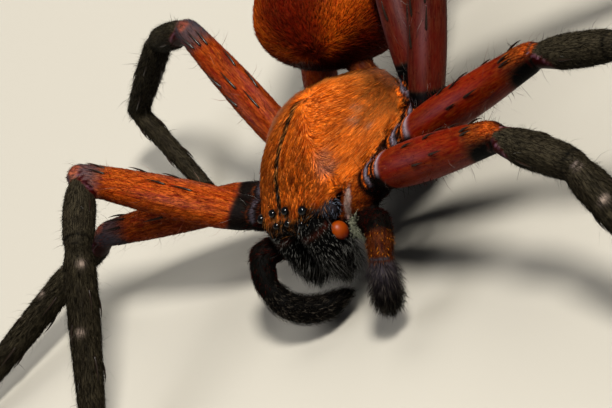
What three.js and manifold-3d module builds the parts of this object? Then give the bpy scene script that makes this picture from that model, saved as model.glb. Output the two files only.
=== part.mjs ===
// Huntsman spider, life size, in a still resting pose.
// Millimetres, +Z up. The spider faces -Y and its left side is +X.
// Two frames share one origin, the centre of the carapace on the plane of its side margins:
// the ground frame is level, the body frame leans with the front body as the spider holds it.
// The whole group is then shifted so that its feet stand at z = 0.
import * as THREE from "three";
import { mergeVertices } from "three/addons/utils/BufferGeometryUtils.js";
import Module from "manifold-3d";

const wasm = await Module();
wasm.setup();

// Driving sizes of the body
const carapaceLength = 8.72;
const carapaceWidth = 7.24;
const carapaceHeight = 3.17;        // top of the dome above the plane of the margins
const abdomenLength = 12.2;
const abdomenWidth = 9.4;
const abdomenDepth = 7.4;
const bodyClearance = 4.84;         // plane of the margins above the ground
const bodyPitch = -5.6;             // degrees about X: the head is held up a little
const bodyRoll = -11;               // degrees about Y: the left side is held up
const gap = 0.3;                    // between touching pieces
const eyeGap = 0.06;                // between an eye lens and its socket

// Section detail of the round pieces
const legSides = 8;
const bodySides = 20;

const randomSource = { state: 20417 };
function random() {
  randomSource.state = (randomSource.state * 1664525 + 1013904223) % 4294967296;
  return randomSource.state / 4294967296;
}
function spread(amount) {
  return (random() * 2 - 1) * amount;
}

const vec = (x, y, z) => new THREE.Vector3(x, y, z);
const degrees = THREE.MathUtils.degToRad;

// Unit vector from a heading in plan (0 = +X, 90 = +Y) and a rise above the horizontal
function direction(heading, rise) {
  const h = degrees(heading);
  const r = degrees(rise);
  return vec(Math.cos(h) * Math.cos(r), Math.sin(h) * Math.cos(r), Math.sin(r));
}

// From the leaning frame of the front body to the level frame of the ground
const bodyTurn = new THREE.Euler(degrees(bodyPitch), degrees(bodyRoll), 0, "ZYX");
const pointToGround = (point) => vec(...point).applyEuler(bodyTurn);
const solidToGround = (solid) => solid.rotate([bodyPitch, bodyRoll, 0]);

// Smooth curve through [place, value] stops
function profile(stops) {
  const slopes = stops.map((stop, i) => {
    const before = stops[Math.max(i - 1, 0)];
    const after = stops[Math.min(i + 1, stops.length - 1)];
    return (after[1] - before[1]) / (after[0] - before[0]);
  });
  return (place) => {
    const last = stops.length - 2;
    let i = 0;
    while (i < last && place > stops[i + 1][0]) i += 1;
    const [x0, y0] = stops[i];
    const [x1, y1] = stops[i + 1];
    const span = x1 - x0;
    const t = THREE.MathUtils.clamp((place - x0) / span, 0, 1);
    const t2 = t * t;
    const t3 = t2 * t;
    return (2 * t3 - 3 * t2 + 1) * y0 + (t3 - 2 * t2 + t) * span * slopes[i]
      + (3 * t2 - 2 * t3) * y1 + (t3 - t2) * span * slopes[i + 1];
  };
}

// Solids
function toSolid(geometry) {
  const bare = geometry.clone();
  bare.deleteAttribute("normal");
  bare.deleteAttribute("uv");
  const merged = mergeVertices(bare, 1e-4);
  const solid = new wasm.Manifold(new wasm.Mesh({
    numProp: 3,
    vertProperties: new Float32Array(merged.attributes.position.array),
    triVerts: new Uint32Array(merged.index.array),
  }));
  return solid;
}

function toGeometry(solid) {
  const mesh = solid.getMesh();
  const geometry = new THREE.BufferGeometry();
  geometry.setAttribute("position", new THREE.BufferAttribute(new Float32Array(mesh.vertProperties), 3));
  geometry.setIndex(new THREE.BufferAttribute(new Uint32Array(mesh.triVerts), 1));
  geometry.computeVertexNormals();
  return geometry;
}

function largestPiece(solid) {
  const pieces = solid.decompose();
  return pieces.reduce((best, piece) => (piece.volume() > best.volume() ? piece : best));
}

function fuse(core, additions) {
  let whole = core;
  for (const addition of additions) whole = whole.add(addition);
  return largestPiece(whole);
}

// Closed skin over a row of equal rings of points; a ring of one point makes a sharp end
function loft(rings) {
  const starts = [];
  const positions = [];
  for (const ring of rings) {
    starts.push(positions.length / 3);
    for (const p of ring) positions.push(p.x, p.y, p.z);
  }
  const index = [];
  for (let r = 0; r < rings.length - 1; r += 1) {
    const [near, far] = [rings[r].length, rings[r + 1].length];
    const count = Math.max(near, far);
    for (let k = 0; k < count; k += 1) {
      const next = (k + 1) % count;
      const a = starts[r] + (near === 1 ? 0 : k);
      const b = starts[r] + (near === 1 ? 0 : next);
      const c = starts[r + 1] + (far === 1 ? 0 : next);
      const d = starts[r + 1] + (far === 1 ? 0 : k);
      if (near > 1) index.push(a, b, c);
      if (far > 1) index.push(a, c, d);
    }
  }
  const last = starts.length - 1;
  for (let k = 1; k < rings[0].length - 1; k += 1) index.push(0, k + 1, k);
  for (let k = 1; k < rings[last].length - 1; k += 1) {
    index.push(starts[last], starts[last] + k, starts[last] + k + 1);
  }
  const geometry = new THREE.BufferGeometry();
  geometry.setAttribute("position", new THREE.BufferAttribute(new Float32Array(positions), 3));
  geometry.setIndex(index);
  const solid = toSolid(geometry);
  if (solid.volume() > 0) return solid;
  const flipped = [];
  for (let i = 0; i < index.length; i += 3) flipped.push(index[i], index[i + 2], index[i + 1]);
  geometry.setIndex(flipped);
  return toSolid(geometry);
}

// Axes across a direction: side lies level, up leans as little as it can
function crossAxes(along) {
  const side = vec(0, 0, 1).cross(along).normalize();
  return { side, up: along.clone().cross(side).normalize() };
}

function ringAt(centre, along, wide, high, sides) {
  const { side, up } = crossAxes(along);
  const ring = [];
  for (let k = 0; k < sides; k += 1) {
    const angle = (k / sides) * Math.PI * 2;
    ring.push(centre.clone()
      .addScaledVector(side, Math.cos(angle) * wide)
      .addScaledVector(up, Math.sin(angle) * high));
  }
  return ring;
}

// Round limb from start to end; radius is a curve over 0..1, and the ends run a little past
function limb(start, end, radius, stations, past) {
  const along = end.clone().sub(start);
  const length = along.length();
  along.divideScalar(length);
  const rings = [];
  for (const t of stations) {
    const reach = t === 0 ? -past : t === 1 ? length + past : t * length;
    const r = radius(t);
    rings.push(ringAt(start.clone().addScaledVector(along, reach), along, r, r, legSides));
  }
  return loft(rings);
}

// Keeps the side of a plane that its normal points to, half a gap away from it
function keepBeyond(solid, point, normal) {
  const n = normal.clone().normalize();
  return solid.trimByPlane([n.x, n.y, n.z], n.dot(point) + gap / 2);
}

// Four-sided spine, bent a little, its root sunk in what it grows from
function spine(root, out, lean, length, thick) {
  const rootSink = 0.3;
  const start = root.clone().addScaledVector(out, -rootSink);
  const heading = out.clone().multiplyScalar(Math.sin(lean.angle))
    .addScaledVector(lean.along, Math.cos(lean.angle)).normalize();
  const middle = root.clone().addScaledVector(heading, length * 0.45).addScaledVector(out, length * 0.04);
  const tip = root.clone().addScaledVector(heading, length);
  return loft([
    ringAt(start, heading, thick / 2, thick / 2, 4),
    ringAt(middle, heading, thick * 0.3, thick * 0.3, 4),
    [tip],
  ]);
}

// Flat tapered lock of bristles: rises from its root, then bends over along its lie
function lock(root, out, along, length, lift) {
  const rootSink = 0.32;
  const width = 0.54;
  const thickness = 0.5;
  const across = along.clone().cross(out).normalize();
  const flatRing = (centre, size) => [
    centre.clone().addScaledVector(across, width / 2 * size),
    centre.clone().addScaledVector(out, thickness / 2 * size),
    centre.clone().addScaledVector(across, -width / 2 * size),
    centre.clone().addScaledVector(out, -thickness / 2 * size),
  ];
  const at = (reach, rise) => root.clone().addScaledVector(along, reach * length).addScaledVector(out, rise);
  return loft([
    flatRing(root.clone().addScaledVector(out, -rootSink), 1),
    flatRing(at(0.35, lift * 0.7), 0.85),
    flatRing(at(0.72, lift), 0.5),
    [at(1, lift * 0.8)],
  ]);
}

// Carapace, in the body frame
const marginWidth = profile([
  [-4.36, 1.55], [-4.1, 2.02], [-3.8, 2.17], [-2.85, 2.46], [-1.9, 2.87], [-0.95, 3.26], [0, 3.54], [0.95, 3.62],
  [1.9, 3.5], [2.85, 3.06], [3.8, 2.11], [4.36, 1.23],
]);
const domeTop = profile([
  [-4.36, 0.5], [-3.9, 0.98], [-3.3, 1.57], [-2.85, 2.01], [-1.9, 2.56], [-0.95, 2.87], [0, 3.1],
  [0.95, 3.17], [1.9, 2.88], [2.85, 2.38], [3.8, 1.74], [4.36, 1.2],
]);
const marginHeight = 0.37;
const carapaceFloor = -0.3;
const sectionFullness = 0.74;
const sizing = { x: carapaceWidth / 7.24, y: carapaceLength / 8.72, z: carapaceHeight / 3.17 };
const carapaceEnd = carapaceLength / 2;

function carapacePoint(place, angle, grow) {
  const w = marginWidth(place) * sizing.x + grow;
  const high = domeTop(place) * sizing.z + grow;
  const c = Math.cos(angle);
  const s = Math.sin(angle);
  const x = Math.sign(c) * Math.abs(c) ** sectionFullness * w;
  return vec(x, place * sizing.y, marginHeight + Math.abs(s) ** 0.9 * (high - marginHeight));
}

function carapaceShell(grow) {
  const dome = 14;
  const stations = [-4.36, -4.1, -3.7, -3.1, -2.3, -1.3, -0.2, 0.9, 1.8, 2.6, 3.3, 3.9, 4.36];
  const rings = stations.map((place, i) => {
    const end = i === 0 ? -1 : i === stations.length - 1 ? 1 : 0;
    const ring = [];
    for (let k = 0; k <= dome; k += 1) {
      const p = carapacePoint(place, (k / dome) * Math.PI, grow);
      p.y += end * grow;
      ring.push(p);
    }
    const tuck = 0.4;
    const w = marginWidth(place) * sizing.x;
    for (const side of [-1, -0.35, 0.35, 1]) {
      ring.push(vec(side * (w - tuck + grow), place * sizing.y + end * grow, carapaceFloor - grow));
    }
    return ring;
  });
  return loft(rings);
}

// Height of the outer surface at a place in plan
function carapaceSurface(x, y) {
  const place = y / sizing.y;
  const c = Math.min(Math.abs(x) / (marginWidth(place) * sizing.x), 0.995) ** (1 / sectionFullness);
  return marginHeight + Math.sqrt(1 - c * c) ** 0.9 * (domeTop(place) * sizing.z - marginHeight);
}

// Eyes: two rows of four round the front of the head
const eyes = [
  { name: "eye_median_back", x: 0.54, y: -3.89, radius: 0.19 },
  { name: "eye_lateral_back", x: 1.78, y: -3.9, radius: 0.2 },
  { name: "eye_median_front", x: 0.48, y: -4.33, radius: 0.18, z: 0.36 },
  { name: "eye_lateral_front", x: 1.35, y: -4.31, radius: 0.21, z: 0.14 },
];
function eyeCentre(eye, side) {
  return vec(side * eye.x, eye.y, eye.z ?? carapaceSurface(eye.x, eye.y) - 0.03);
}
function ball(centre, radius, across, down) {
  const sphere = new THREE.SphereGeometry(radius, across, down);
  sphere.translate(centre.x, centre.y, centre.z);
  return toSolid(sphere);
}

function carapace() {
  let shell = carapaceShell(0);
  const pit = { y: 1.35, length: 1.4, depth: 0.28, wide: 0.3 };
  const groove = ball(vec(0, 0, 0), 1, 8, 6)
    .scale([pit.wide, pit.length / 2, pit.depth])
    .translate([0, pit.y, carapaceSurface(0, pit.y)]);
  shell = shell.subtract(groove);
  for (const eye of eyes) {
    for (const side of [-1, 1]) {
      shell = shell.subtract(ball(eyeCentre(eye, side), eye.radius + eyeGap, 8, 6));
    }
  }
  return largestPiece(shell);
}

// Sternum: the plate under the body and the core between the leg bases, in the body frame
const sternumCentre = 0.3;
const sternumLength = 5.2;
const sternumWidth = 2.9;
const sternumUnder = -2.3;
const sternumTop = carapaceFloor - gap;
function sternumCore(grow) {
  const levels = [[sternumUnder - grow, 0.72], [sternumUnder + 0.3, 0.98], [-1.2, 0.92], [sternumTop + grow, 0.9]];
  const around = 14;
  const rings = levels.map(([z, size]) => {
    const ring = [];
    for (let k = 0; k < around; k += 1) {
      const a = (k / around) * Math.PI * 2;
      ring.push(vec(Math.cos(a) * (sternumWidth / 2 * size + grow),
        sternumCentre + Math.sin(a) * (sternumLength / 2 * size + grow), z));
    }
    return ring;
  });
  return loft(rings);
}

// Abdomen in the ground frame, bent a little to the right, with the narrow stalk to the front body
const stalkRadius = 0.62;
const stalkRoot = [0, carapaceEnd + gap, 0.2];
const abdomenCentre = vec(-3.1, 9.55, 2.55);
const abdomenHeading = 107;
const abdomenRise = 4;
const abdomenShape = profile([
  [0, 0.2], [0.05, 0.52], [0.15, 0.78], [0.35, 0.97], [0.55, 1.0], [0.75, 0.87], [0.9, 0.58], [1, 0.22],
]);
const abdomenAxis = direction(abdomenHeading, abdomenRise);
const abdomenAt = (t) => abdomenCentre.clone().addScaledVector(abdomenAxis, (t - 0.5) * abdomenLength);
function abdomen() {
  const places = [0, 0.05, 0.13, 0.24, 0.38, 0.55, 0.7, 0.82, 0.91, 0.97, 1];
  const frontLift = 0.9;
  const rings = places.map((t) => {
    const size = abdomenShape(t);
    const centre = abdomenAt(t);
    centre.z += frontLift * (1 - THREE.MathUtils.smoothstep(t, 0, 0.35));
    return ringAt(centre, abdomenAxis, abdomenWidth / 2 * size, abdomenDepth / 2 * size, bodySides);
  });
  const stalkEnd = abdomenAt(0.16);
  stalkEnd.z -= 0.8;
  const stalk = limb(pointToGround(stalkRoot), stalkEnd, () => stalkRadius, [0, 1], 0);
  return fuse(loft(rings), [stalk]);
}

// Spinnerets: a low base with two pairs of finger-like spigots
function spinnerets() {
  const hub = abdomenAt(1).addScaledVector(abdomenAxis, gap);
  const across = crossAxes(abdomenAxis).side;
  const base = limb(hub, hub.clone().addScaledVector(abdomenAxis, 0.55), profile([[0, 0.85], [1, 0.7]]),
    [0, 0.5, 1], 0);
  const fingers = [];
  for (const side of [-1, 1]) {
    for (const [high, length, radius] of [[0.3, 1.35, 0.3], [-0.3, 1.1, 0.32]]) {
      const root = hub.clone().addScaledVector(across, side * 0.36).addScaledVector(abdomenAxis, 0.3);
      root.z += high;
      const tip = root.clone().addScaledVector(across, side * 0.22).addScaledVector(abdomenAxis, length);
      tip.z += high * 0.4 - 0.15;
      fingers.push(limb(root, tip, profile([[0, radius], [0.7, radius * 0.85], [1, radius * 0.45]]),
        [0, 0.7, 1], 0));
    }
  }
  return fuse(base, fingers);
}

// Legs. Lengths and radii of each pair, from the front pair to the back one
const legSizes = [
  { femur: 9.1, patella: 4.3, tibia: 8.2, metatarsus: 7.2, tarsus: 2.5 },
  { femur: 9.6, patella: 4.4, tibia: 8.8, metatarsus: 7.6, tarsus: 2.6 },
  { femur: 8.5, patella: 3.8, tibia: 6.4, metatarsus: 6.0, tarsus: 2.3 },
  { femur: 8.9, patella: 3.6, tibia: 7.4, metatarsus: 7.2, tarsus: 2.4 },
];
const legRadius = {
  coxa: profile([[0, 0.74], [0.5, 0.84], [1, 0.8]]),
  femur: profile([[0, 0.82], [0.12, 0.98], [0.35, 1.06], [0.62, 1.0], [0.86, 0.86], [1, 0.78]]),
  patella: profile([[0, 0.78], [0.3, 0.86], [0.7, 0.84], [1, 0.76]]),
  tibia: profile([[0, 0.76], [0.2, 0.82], [0.6, 0.78], [1, 0.66]]),
  metatarsus: profile([[0, 0.64], [0.3, 0.62], [1, 0.5]]),
  tarsus: profile([[0, 0.5], [0.6, 0.52], [0.9, 0.42], [1, 0.22]]),
};
const footLift = 0.22;              // centre of the foot's end above the ground
const tarsusRise = -7;

// Where each leg leaves the body (root and hip, in the body frame) and how each of its lengths
// is held over the ground: [heading, rise]
const legs = [
  { side: "left", pair: 1, reach: 1, stout: 1.0, root: [1.66, -1.9, -1.25], hip: [5.09, -1.5, -0.16],
    femur: [0, 15], patella: [-9, -15], tibia: [-32, -34], foot: -36 },
  { side: "left", pair: 2, reach: 1, stout: 0.94, root: [1.75, -0.45, -1.25], hip: [5.55, 0.44, -0.07],
    femur: [11, 18], patella: [5, 0], tibia: [19, -39], foot: 23 },
  { side: "left", pair: 3, reach: 1, stout: 0.9, root: [1.75, 1.05, -1.25], hip: [4.83, 2.33, -0.35],
    femur: [79, 42], patella: [34, -18], tibia: [37, -50], foot: 33 },
  { side: "left", pair: 4, reach: 1, stout: 0.88, root: [1.5, 2.5, -1.25], hip: [3.67, 3.64, 0.31],
    femur: [105, 45], patella: [77, -6], tibia: [77, -50], foot: 77 },
  { side: "right", pair: 1, reach: 1, stout: 0.98, root: [-1.66, -1.95, -1.25], hip: [-4.7, -2.72, -0.1],
    femur: [-172.8, 29.1], patella: [-57, -3], tibia: [-89, -41], foot: -85 },
  { side: "right", pair: 2, reach: 0.93, stout: 0.88, root: [-1.75, -0.5, -1.25], hip: [-6.18, -0.92, -0.37],
    femur: [-158.2, 8], patella: [-170, -24.8], tibia: [-125, -10], foot: -115 },
  { side: "right", pair: 3, reach: 1, stout: 0.85, root: [-1.75, 0.95, -1.25], hip: [-5.0, 1.3, -0.28],
    femur: [147.7, 37.7], patella: [173, -16], tibia: [-165, -37.5], foot: -31 },
  { side: "right", pair: 4, reach: 1, stout: 0.85, root: [-1.5, 2.4, -1.25], hip: [-3.9, 3.15, 0.1],
    femur: [128, 3], patella: [143, -2], tibia: [137, -19], foot: 133 },
];

function legJoints(leg) {
  const size = legSizes[leg.pair - 1];
  const ground = -bodyClearance;
  const root = pointToGround(leg.root);
  const hip = pointToGround(leg.hip);
  const knee = hip.clone().addScaledVector(direction(...leg.femur), size.femur * leg.reach);
  const shin = knee.clone().addScaledVector(direction(...leg.patella), size.patella * leg.reach);
  const ankle = shin.clone().addScaledVector(direction(...leg.tibia), size.tibia * leg.reach);
  const toeHeight = ground + footLift;
  const heelHeight = toeHeight - size.tarsus * Math.sin(degrees(tarsusRise));
  const rise = THREE.MathUtils.radToDeg(Math.asin((heelHeight - ankle.z) / size.metatarsus));
  const heel = ankle.clone().addScaledVector(direction(leg.foot, rise), size.metatarsus);
  const toe = heel.clone().addScaledVector(direction(leg.foot, tarsusRise), size.tarsus);
  return { root, hip, knee, shin, ankle, heel, toe };
}

const unit = (from, to) => to.clone().sub(from).normalize();
const scaled = (curve, factor) => (t) => curve(t) * factor;

// Rows of spines on each length: place along it, angle round it (90 is on top), length
const spineRows = {
  femur: [[0.3, 92, 1.6], [0.56, 80, 1.7], [0.8, 95, 1.6], [0.38, 20, 1.6], [0.68, 15, 1.7],
    [0.42, 165, 1.6], [0.7, 165, 1.7]],
  patella: [[0.45, 10, 1.4], [0.45, 170, 1.4]],
  tibia: [[0.25, 15, 1.6], [0.62, 10, 1.7], [0.3, 165, 1.6], [0.66, 170, 1.7], [0.5, 88, 1.5]],
  foot: [[0.16, 20, 1.6], [0.5, 15, 1.5], [0.2, 160, 1.6], [0.54, 165, 1.5]],
};
const spineThickness = 0.42;
function spinesOn(start, end, radius, rows) {
  const along = unit(start, end);
  const length = start.distanceTo(end);
  const { side, up } = crossAxes(along);
  return rows.map(([place, round, size]) => {
    const angle = degrees(round + spread(7));
    const out = side.clone().multiplyScalar(Math.cos(angle)).addScaledVector(up, Math.sin(angle));
    const t = place + spread(0.02);
    const root = start.clone().addScaledVector(along, t * length).addScaledVector(out, radius(t) * 0.97);
    const lean = { along, angle: degrees(19 + spread(4)) };
    return spine(root, out, lean, size * (1 + spread(0.08)), spineThickness);
  });
}

const blocks = new Map();
function legNodes(leg) {
  const j = legJoints(leg);
  const name = `leg_${leg.side}_${leg.pair}`;
  const past = 0.5;
  const thick = (curve) => scaled(curve, leg.stout);
  const mitre = (a, b, c) => unit(a, b).add(unit(b, c));

  const planes = {
    hip: mitre(j.root, j.hip, j.knee),
    knee: mitre(j.hip, j.knee, j.shin),
    shin: mitre(j.knee, j.shin, j.ankle),
    ankle: mitre(j.shin, j.ankle, j.heel),
  };
  const behind = (solid, point, normal) => keepBeyond(solid, point, normal.clone().negate());

  let coxa = limb(j.root, j.hip, thick(legRadius.coxa), [0, 0.35, 0.7, 1], past);
  coxa = behind(coxa, j.hip, planes.hip);

  const femurRadius = thick(legRadius.femur);
  let femur = limb(j.hip, j.knee, femurRadius, [0, 0.12, 0.35, 0.62, 0.86, 1], past);
  femur = keepBeyond(femur, j.hip, planes.hip);
  femur = behind(femur, j.knee, planes.knee);
  femur = fuse(femur, spinesOn(j.hip, j.knee, femurRadius, spineRows.femur));

  const patellaRadius = thick(legRadius.patella);
  let patella = limb(j.knee, j.shin, patellaRadius, [0, 0.3, 0.7, 1], past);
  patella = keepBeyond(patella, j.knee, planes.knee);
  patella = behind(patella, j.shin, planes.shin);
  patella = fuse(patella, spinesOn(j.knee, j.shin, patellaRadius, spineRows.patella));

  const tibiaRadius = thick(legRadius.tibia);
  let tibia = limb(j.shin, j.ankle, tibiaRadius, [0, 0.2, 0.6, 1], past);
  tibia = keepBeyond(tibia, j.shin, planes.shin);
  tibia = behind(tibia, j.ankle, planes.ankle);
  tibia = fuse(tibia, spinesOn(j.shin, j.ankle, tibiaRadius, spineRows.tibia));

  const metatarsusRadius = thick(legRadius.metatarsus);
  const tarsusRadius = thick(legRadius.tarsus);
  const upper = limb(j.ankle, j.heel, metatarsusRadius, [0, 0.3, 1], past);
  const lower = limb(j.heel, j.toe, tarsusRadius, [0, 0.6, 0.9, 1], 0.3);
  let foot = keepBeyond(upper, j.ankle, planes.ankle);
  foot = fuse(foot, [lower, ...spinesOn(j.ankle, j.heel, metatarsusRadius, spineRows.foot)]);
  foot = largestPiece(foot.trimByPlane([0, 0, 1], -bodyClearance));

  return [
    [`${name}_coxa`, coxa], [`${name}_femur`, femur], [`${name}_patella`, patella],
    [`${name}_tibia`, tibia], [`${name}_foot`, foot],
  ];
}

// Neighbouring leg bases are parted by a plane midway between their lines
function partCoxae() {
  for (const side of ["left", "right"]) {
    const row = legs.filter((leg) => leg.side === side);
    for (let i = 0; i < row.length - 1; i += 1) {
      const [a, b] = [legJoints(row[i]), legJoints(row[i + 1])];
      const nameA = `leg_${side}_${row[i].pair}_coxa`;
      const nameB = `leg_${side}_${row[i + 1].pair}_coxa`;
      const midA = a.root.clone().lerp(a.hip, 0.5);
      const midB = b.root.clone().lerp(b.hip, 0.5);
      const line = unit(a.root, a.hip).add(unit(b.root, b.hip)).normalize();
      const across = midB.clone().sub(midA);
      across.addScaledVector(line, -across.dot(line)).normalize();
      const middle = midA.clone().lerp(midB, 0.5);
      blocks.set(nameB, keepBeyond(blocks.get(nameB), middle, across));
      blocks.set(nameA, keepBeyond(blocks.get(nameA), middle, across.negate()));
    }
  }
}

// Chelicerae: two stout jaws side by side, each with a smooth boss on its outer shoulder
const jaw = { spread: 1.14, start: vec(0, -3.82, -0.45), end: vec(0, -3.95, -2.75), lean: 0.06, radius: 1.0 };
const jawRadius = profile([[0, 0.9], [0.25, 1.0], [0.6, 0.98], [0.85, 0.84], [1, 0.55]]);
function jawEnds(side) {
  return [jaw.start.clone().setX(side * jaw.spread), jaw.end.clone().setX(side * (jaw.spread - jaw.lean))];
}
function jawBody(side, grow) {
  const [start, end] = jawEnds(side);
  const body = limb(start, end, (t) => jawRadius(t) * jaw.radius + grow, [0, 0.25, 0.6, 0.85, 1], grow);
  const shoulder = start.clone().add(vec(side * 0.84, 0.12, -0.75));
  return fuse(body, [ball(shoulder, 0.44 + grow, 8, 6)]);
}

// Fringe of bristles down the front and outer side of a jaw, hanging past its end
const fringeRows = [
  { place: 0.3, turns: [2, 34, 66], length: 1.0 },
  { place: 0.56, turns: [-8, 22, 52, 82, 112], length: 1.15 },
  { place: 0.82, turns: [4, 36, 68, 100, 132], length: 1.2 },
];
function fringe(side) {
  const [start, end] = jawEnds(side);
  const along = unit(start, end);
  const locks = [];
  for (const row of fringeRows) {
    for (const turn of row.turns) {
      const a = degrees(turn + spread(4));
      const out = vec(side * Math.sin(a), -Math.cos(a), 0);
      out.addScaledVector(along, -out.dot(along)).normalize();
      const t = row.place + spread(0.03);
      const root = start.clone().lerp(end, t).addScaledVector(out, jawRadius(t) * jaw.radius * 0.93);
      locks.push(lock(root, out, along, row.length * (1 + spread(0.12)), 0.2));
    }
  }
  return locks;
}

// Fangs: curved, folded under the jaws' ends and pointing to the middle
function fang(side) {
  const [start, end] = jawEnds(side);
  const along = unit(start, end);
  const root = end.clone().addScaledVector(along, gap);
  const rings = [];
  const bend = 5;
  const fullTurn = degrees(75);
  const reach = 1.2 / fullTurn;
  const inward = vec(-side, 0.5, 0).normalize();
  for (let i = 0; i <= bend; i += 1) {
    const t = i / bend;
    const turn = t * fullTurn;
    const centre = root.clone()
      .addScaledVector(along, Math.sin(turn) * reach * 0.5)
      .addScaledVector(inward, (1 - Math.cos(turn)) * reach);
    const r = THREE.MathUtils.lerp(0.3, 0.05, t ** 1.2);
    rings.push(ringAt(centre, along.clone().addScaledVector(inward, turn).normalize(), r, r, 6));
  }
  return loft(rings);
}

// Palps: short feelers beside the jaws, in the body frame, each in two pieces that meet past its knee
const palps = [
  { side: "left", root: [0.85, -2.35, -1.75], base: [2.0, -2.55, -2.0], knee: [3.99, -2.84, -1.71],
    wrist: [4.69, -4.42, -2.46], tips: [[4.26, -5.13, -3.72], [3.21, -5.24, -4.86]],
    inward: [-1, 0.4, 0] },
  { side: "right", root: [-0.85, -2.35, -1.75], base: [-2.0, -2.75, -1.9], knee: [-3.07, -4.7, -0.77],
    wrist: [-2.94, -5.76, -1.81], tips: [[-2.35, -5.98, -3.13], [-1.02, -5.53, -3.91], [0.09, -4.4, -4.2]],
    inward: [0.6, 0.3, 1] },
];
const palpRadius = {
  coxa: profile([[0, 0.5], [1, 0.6]]),
  femur: profile([[0, 0.56], [0.5, 0.66], [1, 0.6]]),
  patella: profile([[0, 0.6], [0.5, 0.64], [1, 0.58]]),
  tarsus: profile([[0, 0.56], [0.3, 0.7], [0.75, 0.64], [1, 0.26]]),
};
function bentLimb(points, radius, steps) {
  const curve = new THREE.CatmullRomCurve3(points, false, "centripetal");
  const rings = [];
  for (let i = 0; i <= steps; i += 1) {
    const t = i / steps;
    rings.push(ringAt(curve.getPointAt(t), curve.getTangentAt(t), radius(t), radius(t), legSides));
  }
  return loft(rings);
}
// Bushy brush round a palp's end: rings of locks that lie towards its tip
const brushRings = [0.26, 0.5, 0.72];
const brushTurns = 5;
function brushLocks(points, inward) {
  const curve = new THREE.CatmullRomCurve3(points, false, "centripetal");
  const locks = [];
  brushRings.forEach((place, ring) => {
    const centre = curve.getPointAt(place);
    const along = curve.getTangentAt(place);
    const { side, up } = crossAxes(along);
    for (let k = 0; k < brushTurns; k += 1) {
      const a = ((k + ring * 0.5) / brushTurns) * Math.PI * 2 + spread(0.15);
      const out = side.clone().multiplyScalar(Math.cos(a)).addScaledVector(up, Math.sin(a));
      if (out.dot(inward) > 0.55) continue;
      const root = centre.clone().addScaledVector(out, palpRadius.tarsus(place) * 0.92);
      locks.push(lock(root, out, along, 0.95 * (1 + spread(0.12)), 0.17));
    }
  });
  return locks;
}
function palpNodes(palp) {
  const [root, base, knee, wrist] = [palp.root, palp.base, palp.knee, palp.wrist].map((p) => vec(...p));
  const tips = palp.tips.map((tip) => vec(...tip));
  const bend = unit(knee, wrist).add(unit(wrist, tips[0]));
  const coxa = limb(root, base, palpRadius.coxa, [0, 1], 0.2);
  const upper = limb(base, knee, palpRadius.femur, [0, 0.5, 1], 0.25);
  const lower = limb(knee, wrist, palpRadius.patella, [0, 0.5, 1], 0.25);
  const arm = keepBeyond(fuse(upper, [coxa, lower]), wrist, bend.clone().negate());
  const start = wrist.clone().addScaledVector(unit(wrist, tips[0]), -0.3);
  const core = bentLimb([start, ...tips], palpRadius.tarsus, 6);
  const inward = vec(...palp.inward).normalize();
  const brush = keepBeyond(fuse(core, brushLocks([start, ...tips], inward)), wrist, bend);
  return [
    [`palp_${palp.side}_arm`, solidToGround(largestPiece(arm))],
    [`palp_${palp.side}_tarsus`, solidToGround(largestPiece(brush))],
  ];
}

// All pieces
blocks.set("carapace", solidToGround(carapace()));
blocks.set("sternum", solidToGround(sternumCore(0)));
blocks.set("abdomen", abdomen());
blocks.set("spinnerets", spinnerets());
for (const leg of legs) for (const [name, solid] of legNodes(leg)) blocks.set(name, solid);
for (const palp of palps) for (const [name, solid] of palpNodes(palp)) blocks.set(name, solid);
for (const [name, side] of [["left", 1], ["right", -1]]) {
  blocks.set(`chelicera_${name}`, solidToGround(fuse(jawBody(side, 0), fringe(side))));
  blocks.set(`fang_${name}`, solidToGround(fang(side)));
  for (const eye of eyes) {
    blocks.set(`${eye.name}_${name}`, solidToGround(ball(eyeCentre(eye, side), eye.radius, 8, 6)));
  }
}

// Where pieces would meet, the later one gives way by the gap
partCoxae();
const aroundCarapace = solidToGround(carapaceShell(gap));
const aroundSternum = solidToGround(sternumCore(gap));
const aroundJaws = solidToGround(fuse(jawBody(1, gap), [jawBody(-1, gap)]));
function coxaRoom(leg) {
  const j = legJoints(leg);
  return limb(j.root, j.hip, (t) => legRadius.coxa(t) * leg.stout + gap, [0, 0.35, 0.7, 1], 0.5 + gap);
}
const aroundBrushes = palps.map((palp) => {
  const points = [palp.wrist, ...palp.tips].map((point) => vec(...point));
  return solidToGround(bentLimb(points, (t) => palpRadius.tarsus(t) + gap + 0.2, 6));
});
const aroundCoxae = legs.filter((leg) => leg.pair === 1).map(coxaRoom);
const givesWay = [
  ["_coxa", [aroundCarapace, aroundSternum]],
  ["_femur", [aroundCarapace]],
  ["_arm", [aroundCarapace, aroundSternum, aroundJaws, ...aroundCoxae]],
  ["_tarsus", [aroundJaws]],
  ["chelicera_left", [aroundCarapace, ...aroundBrushes]],
  ["chelicera_right", [aroundCarapace, ...aroundBrushes]],
  ["abdomen", [aroundCarapace]],
];
for (const [name, solid] of blocks) {
  const rule = givesWay.find(([ending]) => name.endsWith(ending));
  if (!rule) continue;
  blocks.set(name, largestPiece(rule[1].reduce((rest, room) => rest.subtract(room), solid)));
}

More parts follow.
